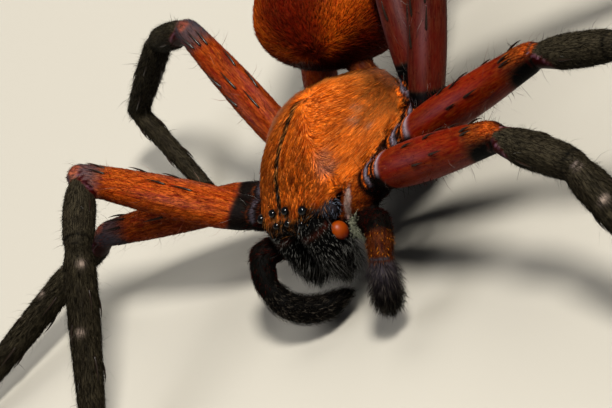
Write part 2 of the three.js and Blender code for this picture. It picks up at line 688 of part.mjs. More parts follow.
// Colours of the finish
const finish = {
  carapace: [0xc8641e, 0.6], sternum: [0x3a1c10, 0.6], abdomen: [0x6e2a12, 0.65],
  spinnerets: [0x4a2414, 0.6], coxa: [0x1d1512, 0.55], femur: [0x9a2c12, 0.35],
  patella: [0x2b2724, 0.7], tibia: [0x2f2b28, 0.75], foot: [0x24201e, 0.75], arm: [0x3a1a12, 0.6],
  tarsus: [0x1e1b19, 0.8], chelicera: [0x15110f, 0.6], fang: [0x1a0705, 0.25], eye: [0x050505, 0.08],
};
function finishOf(name) {
  const key = Object.keys(finish).find((word) => name.startsWith(word) || name.endsWith(word));
  const [color, roughness] = finish[key];
  return new THREE.MeshStandardMaterial({ color, roughness, metalness: 0 });
}

const spider = new THREE.Group();
for (const [name, solid] of blocks) {
  const mesh = new THREE.Mesh(toGeometry(solid), finishOf(name));
  mesh.name = name;
  spider.add(mesh);
}
spider.position.set(0, 0, bodyClearance);
const extent = new THREE.Box3().setFromObject(spider);
const middle = extent.getCenter(vec(0, 0, 0));
spider.position.set(-middle.x, -middle.y, bodyClearance);

export default spider;
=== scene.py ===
# Huntsman spider, life size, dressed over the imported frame.
# Shapes are worked out in millimetres in the row frame and scaled to metres when a piece is finished.
import math
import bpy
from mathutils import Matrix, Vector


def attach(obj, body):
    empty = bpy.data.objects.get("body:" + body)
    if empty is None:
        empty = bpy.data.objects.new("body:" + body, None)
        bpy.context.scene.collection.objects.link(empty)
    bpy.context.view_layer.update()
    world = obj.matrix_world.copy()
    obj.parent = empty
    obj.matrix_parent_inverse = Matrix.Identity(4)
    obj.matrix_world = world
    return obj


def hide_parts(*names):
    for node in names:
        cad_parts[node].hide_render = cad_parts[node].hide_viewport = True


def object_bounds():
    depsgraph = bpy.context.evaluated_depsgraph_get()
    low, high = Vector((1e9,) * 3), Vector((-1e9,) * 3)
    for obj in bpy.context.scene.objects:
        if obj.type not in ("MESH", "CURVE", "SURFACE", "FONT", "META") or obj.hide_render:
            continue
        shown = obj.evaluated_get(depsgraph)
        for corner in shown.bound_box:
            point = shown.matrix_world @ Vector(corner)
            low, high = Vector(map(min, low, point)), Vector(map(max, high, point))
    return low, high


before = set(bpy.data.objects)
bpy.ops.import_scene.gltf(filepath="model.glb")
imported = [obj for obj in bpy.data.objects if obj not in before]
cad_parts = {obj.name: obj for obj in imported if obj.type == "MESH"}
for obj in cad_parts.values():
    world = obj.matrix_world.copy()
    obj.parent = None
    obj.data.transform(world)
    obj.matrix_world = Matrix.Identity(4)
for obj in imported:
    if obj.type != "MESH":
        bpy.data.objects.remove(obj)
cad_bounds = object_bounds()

from types import SimpleNamespace

import bmesh
import bpy
import numpy as np
from mathutils import Matrix, Vector
from mathutils.kdtree import KDTree

MM = 0.001
UP = Vector((0, 0, 1))
rng = np.random.default_rng(20417)

# Sizes shared with the solids, in millimetres
CARAPACE_END = 4.36
MARGIN_HEIGHT = 0.37
CARAPACE_FLOOR = -0.3
SECTION_FULLNESS = 0.74
BODY_PITCH = -5.6
BODY_ROLL = -11.0
STAND = Vector((-3.738, -1.135, 4.84))
ABDOMEN_LENGTH = 12.2
ABDOMEN_WIDTH = 9.4
ABDOMEN_DEPTH = 7.4
ABDOMEN_CENTRE = Vector((-3.1, 9.55, 2.55))
ABDOMEN_HEADING = 107
ABDOMEN_RISE = 4
FRONT_LIFT = 0.9
STALK_RADIUS = 0.62
GAP = 0.3
FOOT_LIFT = 0.22
TARSUS_RISE = -7

# The skin lies under the coat
SKIN_SHARE = 0.94
SKIN_INSET = 0.1
VOXEL = 0.16
SIDES = (("left", 1), ("right", -1))

# Hair stands at most this far above the top of the solids
PROUD_HAIR = 0.25
# A coat piece holds fewer triangles than this
MOST_TRIANGLES = 190000


def smooth_curve(stops):
    """Smooth curve through (place, value) stops."""
    slopes = []
    for i in range(len(stops)):
        before = stops[max(i - 1, 0)]
        after = stops[min(i + 1, len(stops) - 1)]
        slopes.append((after[1] - before[1]) / (after[0] - before[0]))

    def at(place):
        i = 0
        while i < len(stops) - 2 and place > stops[i + 1][0]:
            i += 1
        x0, y0 = stops[i]
        x1, y1 = stops[i + 1]
        t = min(max((place - x0) / (x1 - x0), 0), 1)
        t2, t3 = t * t, t * t * t
        return ((2 * t3 - 3 * t2 + 1) * y0 + (t3 - 2 * t2 + t) * (x1 - x0) * slopes[i]
                + (3 * t2 - 2 * t3) * y1 + (t3 - t2) * (x1 - x0) * slopes[i + 1])

    return at


def smoothstep(x, low, high):
    t = np.clip((x - low) / (high - low), 0, 1)
    return t * t * (3 - 2 * t)


BODY_TURN = (Matrix.Rotation(math.radians(BODY_ROLL), 3, "Y")
             @ Matrix.Rotation(math.radians(BODY_PITCH), 3, "X"))


def on_body(point):
    """A point of the leaning front body, in the row frame."""
    return BODY_TURN @ Vector(point) + STAND


def on_side(point, side):
    """A point given for the left side, on either side of the front body."""
    return on_body((side * point[0], point[1], point[2]))


def on_ground(point):
    return Vector(point) + STAND


def direction(heading, rise):
    h, r = math.radians(heading), math.radians(rise)
    return Vector((math.cos(h) * math.cos(r), math.sin(h) * math.cos(r), math.sin(r)))


def cross_axes(along):
    side = UP.cross(along).normalized()
    return side, along.cross(side).normalized()


# Points of the flesh with the number of the part that they belong to
flesh_points = []
parts = []


# Lofts: a ring of points is extruded from station to station
def ring_round(centre, along, wide, high, sides):
    side, up = cross_axes(along)
    turn = 2 * math.pi / sides
    return [centre + side * (math.cos(k * turn) * wide) + up * (math.sin(k * turn) * high)
            for k in range(sides)]


def loft(bm, rings):
    """Closed surface through rings of equal count; each ring is an extrusion of the one before."""
    sides = len(rings[0])
    made = bmesh.ops.create_circle(bm, segments=sides, radius=1, cap_ends=False)["verts"]
    loop = list(made)
    order = [loop[0]]
    left = set(loop[1:])
    while left:
        step = [e.other_vert(order[-1]) for e in order[-1].link_edges]
        step = [v for v in step if v in left]
        order.append(step[0])
        left.discard(step[0])
    for v, p in zip(order, rings[0]):
        v.co = p
    edges = [bm.edges.get((order[k], order[(k + 1) % sides])) for k in range(sides)]
    first = order
    flesh_points.extend((p, len(parts)) for ring in rings for p in ring)
    for ring in rings[1:]:
        out = bmesh.ops.extrude_edge_only(bm, edges=edges)["geom"]
        fresh = {v for v in out if isinstance(v, bmesh.types.BMVert)}
        moved = []
        for v in order:
            moved.append(next(e.other_vert(v) for e in v.link_edges if e.other_vert(v) in fresh))
        for v, p in zip(moved, ring):
            v.co = p
        order = moved
        edges = [bm.edges.get((order[k], order[(k + 1) % sides])) for k in range(sides)]
    for cap in (first, order):
        bmesh.ops.contextual_create(bm, geom=cap)


# Each part of the flesh keeps its centreline, so that coat and markings can follow it
def add_part(name, kind, line, zone, **more):
    line = [Vector(p) for p in line]
    parts.append({"name": name, "kind": kind, "line": line, "zone": zone, "index": len(parts), **more})


# Rings of a domed end, as shares of the limb's radius
DOME = (0.25, 0.6, 0.85, 0.97)
# How far a length is drawn in at its far end, and over what share of it
END_NECK, END_NECK_LONG = 0.06, 0.03


def limb_rings(start, end, radius, sides=24, spacing=0.28):
    """Rings of a round limb with domed ends."""
    along = (end - start).normalized()
    length = (end - start).length
    count = max(int(length / spacing), 4)
    rings = []
    for s in DOME:
        r = radius(0) * s
        back = radius(0) * math.sqrt(1 - s * s)
        rings.append(ring_round(start - along * back, along, r, r, sides))
    for k in range(count + 1):
        t = k / count
        r = radius(t)
        rings.append(ring_round(start + along * (t * length), along, r, r, sides))
    for s in reversed(DOME):
        r = radius(1) * s
        ahead = radius(1) * math.sqrt(1 - s * s)
        rings.append(ring_round(end + along * ahead, along, r, r, sides))
    return rings


def waisted(curve, share, neck, long=0.035):
    """A length's own radius, drawn in a little behind each joint."""
    def at(t):
        pinch = neck * math.exp(-(t / long) ** 2) + END_NECK * math.exp(-((1 - t) / END_NECK_LONG) ** 2)
        return curve(t) * share * (1 - pinch)
    return at


# Carapace: half width of the margin and height of the ridge, along its length
margin_width = smooth_curve([
    (-4.36, 1.55), (-4.1, 2.02), (-3.8, 2.17), (-2.85, 2.46), (-1.9, 2.87), (-0.95, 3.26), (0, 3.54),
    (0.95, 3.62), (1.9, 3.5), (2.85, 3.06), (3.8, 2.11), (4.36, 1.23)])
dome_top = smooth_curve([
    (-4.36, 0.5), (-3.9, 0.98), (-3.3, 1.57), (-2.85, 2.01), (-1.9, 2.56), (-0.95, 2.87), (0, 3.1),
    (0.95, 3.17), (1.9, 2.88), (2.85, 2.38), (3.8, 1.74), (4.36, 1.2)])
FOVEA = (0.0, 1.35)
PIT_DEPTH = 0.26
FURROW_DEPTH = 0.05
FURROW_SPREAD = 7
FURROW_ANGLES = (38, 78, 112, 146)


def carapace_relief(x, y):
    """Groove in the middle of the back and shallow furrows that run out from it."""
    pit = PIT_DEPTH * math.exp(-(x / 0.16) ** 2) * math.exp(-((y - FOVEA[1]) / 0.62) ** 4)
    from_pit = math.hypot(x, y - FOVEA[1])
    angle = math.degrees(math.atan2(abs(x), -(y - FOVEA[1])))
    furrow = sum(math.exp(-((angle - a) / FURROW_SPREAD) ** 2) for a in FURROW_ANGLES)
    reach = float(smoothstep(from_pit, 0.5, 1.6)) * (1 - float(smoothstep(from_pit, 2.6, 4.0)))
    return pit + FURROW_DEPTH * furrow * reach


def carapace_ring(place, size, shift, sides=72):
    w = (margin_width(place) - SKIN_INSET) * size
    top = dome_top(place) - SKIN_INSET
    middle = (MARGIN_HEIGHT + top) / 2 if size < 1 else MARGIN_HEIGHT
    ring = []
    for k in range(sides):
        a = 2 * math.pi * k / sides
        c, s = math.cos(a), math.sin(a)
        x = math.copysign(abs(c) ** SECTION_FULLNESS, c) * w
        if s >= 0:
            z = MARGIN_HEIGHT + s ** 0.9 * (top - MARGIN_HEIGHT)
            z -= carapace_relief(x, place) * s if size == 1 else 0
        else:
            z = MARGIN_HEIGHT + s * (MARGIN_HEIGHT - CARAPACE_FLOOR + 0.1)
        z = middle + (z - middle) * size
        ring.append(on_body((x, place + shift, z)))
    return ring


def build_carapace(bm):
    places = np.linspace(-CARAPACE_END, CARAPACE_END, 60)
    ends = ((0.3, 0.12), (0.62, 0.1), (0.84, 0.06), (0.96, 0.02))
    rings = [carapace_ring(-CARAPACE_END, s, -d) for s, d in ends]
    rings += [carapace_ring(p, 1, 0) for p in places]
    rings += [carapace_ring(CARAPACE_END, s, d) for s, d in reversed(ends)]
    loft(bm, rings)
    add_part("carapace", "carapace", [on_body((0, -CARAPACE_END, 0)), on_body((0, CARAPACE_END, 0))], "shell")


# Sternum and the core between the leg bases
STERNUM = {"centre": 0.3, "length": 5.2, "width": 2.9, "under": -2.3}


def build_sternum(bm):
    levels = ((-2.3, 0.3), (-2.28, 0.72), (-2.2, 0.9), (-2.0, 0.98), (-1.2, 0.92), (0.1, 0.88), (0.3, 0.5))
    rings = []
    for z, size in levels:
        ring = []
        for k in range(48):
            a = 2 * math.pi * k / 48
            x = math.cos(a) * STERNUM["width"] / 2 * size
            y = STERNUM["centre"] + math.sin(a) * STERNUM["length"] / 2 * size
            ring.append(on_body((x, y, z)))
        rings.append(ring)
    loft(bm, rings)
    add_part("sternum", "plate", [on_body((0, -2.3, -2.2)), on_body((0, 2.9, -2.2))], "under")


# Abdomen with its stalk
abdomen_shape = smooth_curve([
    (0, 0.2), (0.05, 0.52), (0.15, 0.78), (0.35, 0.97), (0.55, 1.0), (0.75, 0.87), (0.9, 0.58), (1, 0.22)])
abdomen_axis = direction(ABDOMEN_HEADING, ABDOMEN_RISE)


def abdomen_at(t):
    return on_ground(ABDOMEN_CENTRE + abdomen_axis * ((t - 0.5) * ABDOMEN_LENGTH))


def build_abdomen(bm):
    rings = []
    for t in np.concatenate([[0.0, 0.012, 0.03], np.linspace(0.05, 0.95, 56), [0.97, 0.988, 1.0]]):
        size = abdomen_shape(t) * 0.985
        centre = abdomen_at(t)
        centre.z += FRONT_LIFT * (1 - float(smoothstep(t, 0, 0.35)))
        rings.append(ring_round(centre, abdomen_axis, ABDOMEN_WIDTH / 2 * size, ABDOMEN_DEPTH / 2 * size, 72))
    loft(bm, rings)
    add_part("abdomen", "limb", [abdomen_at(0), abdomen_at(1)], "abdomen")
    stalk_start = on_body((0, CARAPACE_END - 0.4, 0.2))
    stalk_end = abdomen_at(0.16) - UP * 0.8
    loft(bm, limb_rings(stalk_start, stalk_end, lambda t: STALK_RADIUS * 0.95))
    add_part("stalk", "limb", [stalk_start, stalk_end], "joint")


def build_spinnerets(bm):
    hub = abdomen_at(1) + abdomen_axis * GAP
    across = cross_axes(abdomen_axis)[0]
    start, end = hub - abdomen_axis * 0.5, hub + abdomen_axis * 0.5
    loft(bm, limb_rings(start, end, smooth_curve([(0, 0.9), (1, 0.66)])))
    add_part("spinneret_base", "limb", [start, end], "abdomen")
    for side in (-1, 1):
        for high, length, radius in ((0.3, 1.35, 0.3), (-0.3, 1.1, 0.32)):
            root = hub + across * (side * 0.36) + abdomen_axis * 0.3 + UP * high
            tip = root + across * (side * 0.22) + abdomen_axis * (length - 0.1) + UP * (high * 0.4 - 0.15)
            shape = smooth_curve([(0, radius), (0.7, radius * 0.85), (1, radius * 0.45)])
            loft(bm, limb_rings(root, tip, shape, 16))
            add_part("spinneret", "limb", [root, tip], "abdomen")


# Legs, from the same lengths, radii and directions as the solids
LEG_SIZES = (
    {"femur": 9.1, "patella": 4.3, "tibia": 8.2, "metatarsus": 7.2, "tarsus": 2.5},
    {"femur": 9.6, "patella": 4.4, "tibia": 8.8, "metatarsus": 7.6, "tarsus": 2.6},
    {"femur": 8.5, "patella": 3.8, "tibia": 6.4, "metatarsus": 6.0, "tarsus": 2.3},
    {"femur": 8.9, "patella": 3.6, "tibia": 7.4, "metatarsus": 7.2, "tarsus": 2.4},
)
leg_radius = {
    "coxa": smooth_curve([(0, 0.74), (0.5, 0.84), (1, 0.8)]),
    "femur": smooth_curve([(0, 0.82), (0.12, 0.98), (0.35, 1.06), (0.62, 1.0), (0.86, 0.86), (1, 0.78)]),
    "patella": smooth_curve([(0, 0.78), (0.3, 0.86), (0.7, 0.84), (1, 0.76)]),
    "tibia": smooth_curve([(0, 0.76), (0.2, 0.82), (0.6, 0.78), (1, 0.66)]),
    "metatarsus": smooth_curve([(0, 0.64), (0.3, 0.62), (1, 0.5)]),
    "tarsus": smooth_curve([(0, 0.5), (0.6, 0.52), (0.9, 0.42), (1, 0.3)]),
}
# root and hip: ends of the coxa on the front body. The lengths beyond: heading and rise in degrees.
# silk: how much of the leg's upper length wears the orange silk
LEGS = (
    {"side": "left", "pair": 1, "reach": 1, "stout": 1.0, "silk": 0.05,
     "root": (1.66, -1.9, -1.25), "hip": (5.09, -1.5, -0.16),
     "femur": (0, 15), "patella": (-9, -15), "tibia": (-32, -34), "foot": -36},
    {"side": "left", "pair": 2, "reach": 1, "stout": 0.94, "silk": 0.05,
     "root": (1.75, -0.45, -1.25), "hip": (5.55, 0.44, -0.07),
     "femur": (11, 18), "patella": (5, 0), "tibia": (19, -39), "foot": 23},
    {"side": "left", "pair": 3, "reach": 1, "stout": 0.9, "silk": 0.02,
     "root": (1.75, 1.05, -1.25), "hip": (4.83, 2.33, -0.35),
     "femur": (79, 42), "patella": (34, -18), "tibia": (37, -50), "foot": 33},
    {"side": "left", "pair": 4, "reach": 1, "stout": 0.88, "silk": 0.02,
     "root": (1.5, 2.5, -1.25), "hip": (3.67, 3.64, 0.31),
     "femur": (105, 45), "patella": (77, -6), "tibia": (77, -50), "foot": 77},
    {"side": "right", "pair": 1, "reach": 1, "stout": 0.98, "silk": 0.26,
     "root": (-1.66, -1.95, -1.25), "hip": (-4.7, -2.72, -0.1),
     "femur": (-172.8, 29.1), "patella": (-57, -3), "tibia": (-89, -41), "foot": -85},
    {"side": "right", "pair": 2, "reach": 0.93, "stout": 0.88, "silk": 0.2,
     "root": (-1.75, -0.5, -1.25), "hip": (-6.18, -0.92, -0.37),
     "femur": (-158.2, 8), "patella": (-170, -24.8), "tibia": (-125, -10), "foot": -115},
    {"side": "right", "pair": 3, "reach": 1, "stout": 0.85, "silk": 0.16,
     "root": (-1.75, 0.95, -1.25), "hip": (-5.0, 1.3, -0.28),
     "femur": (147.7, 37.7), "patella": (173, -16), "tibia": (-165, -37.5), "foot": -31},
    {"side": "right", "pair": 4, "reach": 1, "stout": 0.85, "silk": 0.16,
     "root": (-1.5, 2.4, -1.25), "hip": (-3.9, 3.15, 0.1),
     "femur": (128, 3), "patella": (143, -2), "tibia": (137, -19), "foot": 133},
)


def leg_joints(leg):
    size = LEG_SIZES[leg["pair"] - 1]
    root, hip = on_body(leg["root"]), on_body(leg["hip"])
    knee = hip + direction(*leg["femur"]) * (size["femur"] * leg["reach"])
    shin = knee + direction(*leg["patella"]) * (size["patella"] * leg["reach"])
    ankle = shin + direction(*leg["tibia"]) * (size["tibia"] * leg["reach"])
    heel_height = FOOT_LIFT - size["tarsus"] * math.sin(math.radians(TARSUS_RISE))
    rise = math.degrees(math.asin((heel_height - ankle.z) / size["metatarsus"]))
    heel = ankle + direction(leg["foot"], rise) * size["metatarsus"]
    toe = heel + direction(leg["foot"], TARSUS_RISE) * size["tarsus"]
    return {"root": root, "hip": hip, "knee": knee, "shin": shin, "ankle": ankle, "heel": heel, "toe": toe}


LEG_LENGTHS = (
    ("coxa", "root", "hip"), ("femur", "hip", "knee"), ("patella", "knee", "shin"),
    ("tibia", "shin", "ankle"), ("metatarsus", "ankle", "heel"), ("tarsus", "heel", "toe"),
)
# How far each length is drawn in at its start, and over what share of it
LEG_NECKS = {"coxa": (0.0, 0.035), "patella": (0.26, 0.3), "tibia": (0.24, 0.06), "metatarsus": (0.2, 0.05)}
PLAIN_NECK = (0.1, 0.035)


def build_knee_lip(bm, joints, radius):
    """The femur's end reaches on under the knee as a rounded pocket."""
    along = (joints["knee"] - joints["hip"]).normalized()
    up = cross_axes(along)[1]
    low = joints["knee"] - up * (radius * 0.32)
    loft(bm, limb_rings(low - along * 0.5, low + along * 0.42, lambda t: radius * (0.86 - 0.28 * t)))


def build_leg(bm, leg):
    joints = leg_joints(leg)
    for kind, a, b in LEG_LENGTHS:
        share = SKIN_SHARE * leg["stout"]
        neck, long = LEG_NECKS.get(kind, PLAIN_NECK)
        shape = waisted(leg_radius[kind], share, neck, long)
        loft(bm, limb_rings(joints[a], joints[b], shape))
        if kind == "femur":
            build_knee_lip(bm, joints, shape(1))
        name = f"leg_{leg['side']}_{leg['pair']}_{kind}"
        zone = kind if kind in ("coxa", "femur") else "distal"
        add_part(name, "limb", [joints[a], joints[b]], zone, leg=leg, length=kind, radius=shape)


def build_ball(bm, centre, radius, stretch=(1, 1, 1)):
    place = Matrix.Translation(centre) @ BODY_TURN.to_4x4() @ Matrix.Diagonal((*stretch, 1))
    made = bmesh.ops.create_uvsphere(bm, u_segments=24, v_segments=16, radius=radius, matrix=place)
    flesh_points.extend((v.co.copy(), len(parts)) for v in made["verts"])


CHEEK_CENTRE = (2.15, -3.05, -0.25)
CHEEK_END = (2.3, -3.6, -1.2)
CHEEK_RADIUS = 0.42


def build_cheek(bm, side):
    """Hairy corner of the head beside the jaw's root."""
    centre = on_side(CHEEK_CENTRE, side)
    build_ball(bm, centre, CHEEK_RADIUS, (1, 1, 1.05))
    name = "cheek_left" if side > 0 else "cheek_right"
    add_part(name, "plate", [centre, on_side(CHEEK_END, side)], "cheek", side=side)


LIP = {"centre": (0, -2.45, -1.75), "radius": 0.5, "stretch": (0.9, 0.8, 0.9)}
PALP_BASE = {"centre": (0.85, -2.75, -1.75), "radius": 0.62, "stretch": (0.8, 1.1, 1.0)}
MOUTH_LINE = ((0, -2.0, -1.9), (0, -3.2, -1.9))


def build_mouth(bm):
    """Lip and the bases of the palps between the jaws and the breast plate."""
    build_ball(bm, on_body(LIP["centre"]), LIP["radius"], LIP["stretch"])
    for side in (-1, 1):
        build_ball(bm, on_side(PALP_BASE["centre"], side), PALP_BASE["radius"], PALP_BASE["stretch"])
    add_part("mouth", "plate", [on_body(p) for p in MOUTH_LINE], "under")


# Jaws and palps
JAW_SPREAD = 1.14
JAW_LEAN = 0.06
BOSS_OUT = 0.88
JAW_ROOT = (JAW_SPREAD, -3.82, -0.45)
JAW_TIP = (JAW_SPREAD - JAW_LEAN, -3.95, -2.75)
BOSS_CENTRE = (JAW_SPREAD + BOSS_OUT, -3.55, -1.25)
BOSS_RADIUS = 0.41
BOSS_STRETCH = (0.8, 1, 1.15)
jaw_radius = smooth_curve([(0, 0.9), (0.25, 1.0), (0.6, 0.98), (0.85, 0.84), (1, 0.55)])


def jaw_ends(side):
    return on_side(JAW_ROOT, side), on_side(JAW_TIP, side)


def jaw_boss(side):
    return on_side(BOSS_CENTRE, side)


def build_jaw(bm, side):
    start, end = jaw_ends(side)
    loft(bm, limb_rings(start, end, lambda t: jaw_radius(t) * SKIN_SHARE, 32))
    add_part("jaw_left" if side > 0 else "jaw_right", "limb", [start, end], "jaw", side=side)


palp_radius = {
    "coxa": smooth_curve([(0, 0.5), (1, 0.6)]),
    "femur": smooth_curve([(0, 0.56), (0.5, 0.66), (1, 0.6)]),
    "patella": smooth_curve([(0, 0.6), (0.5, 0.64), (1, 0.58)]),
    "tarsus": smooth_curve([(0, 0.56), (0.3, 0.7), (0.75, 0.64), (1, 0.26)]),
}
PALP_STEPS = 14
PALPS = (
    {"side": "left", "root": (0.85, -2.35, -1.75), "base": (2.0, -2.55, -2.0),
     "knee": (3.99, -2.84, -1.71), "wrist": (4.69, -4.42, -2.46),
     "tips": ((4.26, -5.13, -3.72), (3.21, -5.24, -4.86))},
    {"side": "right", "root": (-0.85, -2.35, -1.75), "base": (-2.0, -2.75, -1.9),
     "knee": (-3.07, -4.7, -0.77), "wrist": (-2.94, -5.76, -1.81),
     "tips": ((-2.35, -5.98, -3.13), (-1.02, -5.53, -3.91), (0.09, -4.4, -4.2))},
)


def bent_line(points, count):
    """Points of a smooth curve through a few points, evenly spaced by its parameter."""
    padded = [points[0] * 2 - points[1]] + list(points) + [points[-1] * 2 - points[-2]]
    line = []
    spans = len(points) - 1
    for k in range(count + 1):
        s = min(k / count * spans, spans - 1e-6)
        i = int(s)
        t = s - i
        p0, p1, p2, p3 = padded[i:i + 4]
        line.append(0.5 * ((2 * p1) + (p2 - p0) * t + (2 * p0 - 5 * p1 + 4 * p2 - p3) * t * t
                           + (3 * p1 - p0 - 3 * p2 + p3) * t * t * t))
    return line


def build_palp(bm, palp):
    root, base, knee, wrist = (on_body(palp[k]) for k in ("root", "base", "knee", "wrist"))
    for kind, a, b in (("coxa", root, base), ("femur", base, knee), ("patella", knee, wrist)):
        shape = waisted(palp_radius[kind], SKIN_SHARE, 0.08)
        loft(bm, limb_rings(a, b, shape, 20))
        add_part(f"palp_{palp['side']}_{kind}", "limb", [a, b], f"palp_{kind}", palp=palp["side"])
    line = bent_line([wrist] + [on_body(p) for p in palp["tips"]], PALP_STEPS)
    rings = []
    for i, p in enumerate(line):
        along = (line[min(i + 1, PALP_STEPS)] - line[max(i - 1, 0)]).normalized()
        r = palp_radius["tarsus"](i / PALP_STEPS) * 0.9
        rings.append(ring_round(p, along, r, r, 20))
    loft(bm, rings)
    add_part(f"palp_{palp['side']}_tarsus", "limb", line, "palp_tarsus", palp=palp["side"])


def object_from(bm, name):
    mesh = bpy.data.meshes.new(name)
    bmesh.ops.recalc_face_normals(bm, faces=bm.faces)
    bm.to_mesh(mesh)
    bm.free()
    obj = bpy.data.objects.new(name, mesh)
    bpy.context.scene.collection.objects.link(obj)
    return obj


def to_metres(obj):
    obj.data.transform(Matrix.Scale(MM, 4))


def coords_of(mesh):
    co = np.empty(len(mesh.vertices) * 3, np.float32)
    mesh.vertices.foreach_get("co", co)
    return co.reshape(-1, 3).astype(float)


# Flesh: all parts are lofted, then remeshed into one skin
def build_flesh():
    bm = bmesh.new()
    build_carapace(bm)
    build_sternum(bm)
    build_mouth(bm)
    build_abdomen(bm)
    build_spinnerets(bm)
    for leg in LEGS:
        build_leg(bm, leg)
    for side in (1, -1):
        build_cheek(bm, side)
        build_jaw(bm, side)
    for palp in PALPS:
        build_palp(bm, palp)
    return object_from(bm, "skin")


def remesh_flesh(obj):
    mod = obj.modifiers.new("one_skin", "REMESH")
    mod.mode = "VOXEL"
    mod.voxel_size = VOXEL
    mod.adaptivity = 0
    mod.use_smooth_shade = True
    bpy.context.view_layer.update()
    whole = bpy.data.meshes.new_from_object(obj.evaluated_get(bpy.context.evaluated_depsgraph_get()))
    obj.modifiers.clear()
    old = obj.data
    obj.data = whole
    bpy.data.meshes.remove(old)
    bm = bmesh.new()
    bm.from_mesh(whole)
    for _ in range(2):
        bmesh.ops.smooth_vert(bm, verts=bm.verts, factor=0.5,
                              use_axis_x=True, use_axis_y=True, use_axis_z=True)
    for v in bm.verts:
        v.co.z = max(v.co.z, 0.0)
    bm.to_mesh(whole)
    bm.free()
    return obj


# What each point of the skin knows: its part, its place along and round the part, and the lie of the coat
def vertex_parts(co):
    tree = KDTree(len(flesh_points))
    for i, (p, _) in enumerate(flesh_points):
        tree.insert(p, i)
    tree.balance()
    return np.array([flesh_points[tree.find(p)[1]][1] for p in co])


def along_line(co, line):
    """Nearest place on a centreline for many points: distance along it, local axes and offset."""
    best = np.full(len(co), 1e9)
    reach = np.zeros(len(co))
    tangent = np.zeros((len(co), 3))
    offset = np.zeros((len(co), 3))
    run = 0.0
    for i, (a, b) in enumerate(zip(line, line[1:])):
        a, b = np.array(a), np.array(b)
        d = b - a
        size = np.linalg.norm(d)
        t = (co - a) @ d / size ** 2
        low = -9 if i == 0 else 0
        high = 9 if i == len(line) - 2 else 1
        t = np.clip(t, low, high)
        foot = a + t[:, None] * d
        gap = np.linalg.norm(co - foot, axis=1)
        near = gap < best
        best[near] = gap[near]
        reach[near] = run + t[near] * size
        tangent[near] = d / size
        offset[near] = (co - foot)[near]
        run += size
    return reach, tangent, offset, run


BODY_BACK = np.array(BODY_TURN.transposed())
# Length that the carapace fills in the unwrap, and how far the streaks of one part lie from the next one's
CARAPACE_UNWRAP = 9.2
FLOW_STEP = 13.0


def body_coords(co):
    return (co - np.array(STAND)) @ BODY_BACK.T


def project_out(v, n):
    flat = v - n * np.sum(v * n, axis=1)[:, None]
    size = np.linalg.norm(flat, axis=1)[:, None]
    return flat / np.maximum(size, 1e-9)


def island(index):
    """The part's own place in the unwrap: the two big ones fill the lower band, the rest a grid above it."""
    if parts[index]["name"] == "carapace":
        return 0.01, 0.01, 0.48, 0.28
    if parts[index]["name"] == "abdomen":
        return 0.51, 0.01, 0.48, 0.28
    column, row = index % 10, index // 10
    return 0.005 + column * 0.099, 0.305 + row * 0.098, 0.092, 0.092


def carapace_lie(b):
    """Hair runs forward on the head. On the sides it runs outward, then back along the margin."""
    x, y = b[:, 0], b[:, 1] - FOVEA[1]
    side = np.where(x < 0, -1.0, 1.0)
    wide = np.abs(x)
    angle = np.degrees(np.arctan2(wide, -y))
    from_pit = np.maximum(np.hypot(x, y), 1e-6)
    ring = np.stack([-side * y * 0.5, wide], axis=1)
    ring /= np.maximum(np.linalg.norm(ring, axis=1), 1e-6)[:, None]
    outward = np.stack([x, y], axis=1) / from_pit[:, None]
    sides = ring + outward * (0.3 + 1.2 * (1 - smoothstep(from_pit, 1.6, 4.0)))[:, None]
    rear = smoothstep(angle, 120, 165)[:, None]
    sides = sides * (1 - rear) + np.array([0.0, 1.0]) * rear
    head = np.stack([0.12 * side, -np.ones(len(x))], axis=1)
    behind = smoothstep(angle, 30, 40)[:, None]
    way = head * (1 - behind) + sides * behind
    oval = np.hypot(x, y * 0.7)
    on_head = np.stack([y, x, np.zeros(len(x))], axis=1)
    on_side = np.stack([np.radians(angle) * 2.5, oval, side * 10], axis=1)
    return np.column_stack([way, np.zeros(len(x))]), np.where(angle[:, None] < 35, on_head, on_side)


def unwrap(part, along, around):
    """Place on the part's own island, from shares of its length and of the turn round it."""
    u0, v0, du, dv = island(part["index"])
    return np.stack([u0 + along * du, v0 + around * dv], axis=1)


def turn_share(y, x):
    return np.arctan2(y, x) / (2 * np.pi) + 0.5


def read_carapace(part, p):
    b = body_coords(p)
    way, flow = carapace_lie(b)
    uv = unwrap(part, b[:, 1] / CARAPACE_UNWRAP + 0.5, turn_share(b[:, 2] - 0.3, b[:, 0]))
    return way @ np.array(BODY_TURN).T, flow, uv


def read_limb(part, reach, length, tangent, x, y):
    flow = np.stack([reach + part["index"] * FLOW_STEP, x, y], axis=1)
    uv = unwrap(part, (np.clip(reach / length, -0.1, 1.1) + 0.1) / 1.2, turn_share(y, x))
    return tangent, flow, uv


def jaw_lie(part, p):
    """Forward and down, and outward on the outer face."""
    outer = np.clip((body_coords(p)[:, 0] * part["side"] - 1.0), 0, 1)[:, None]
    way = np.array([0, -0.8, -0.6]) + outer * [0.75 * part["side"], 0.3, 0]
    return way @ np.array(BODY_TURN).T


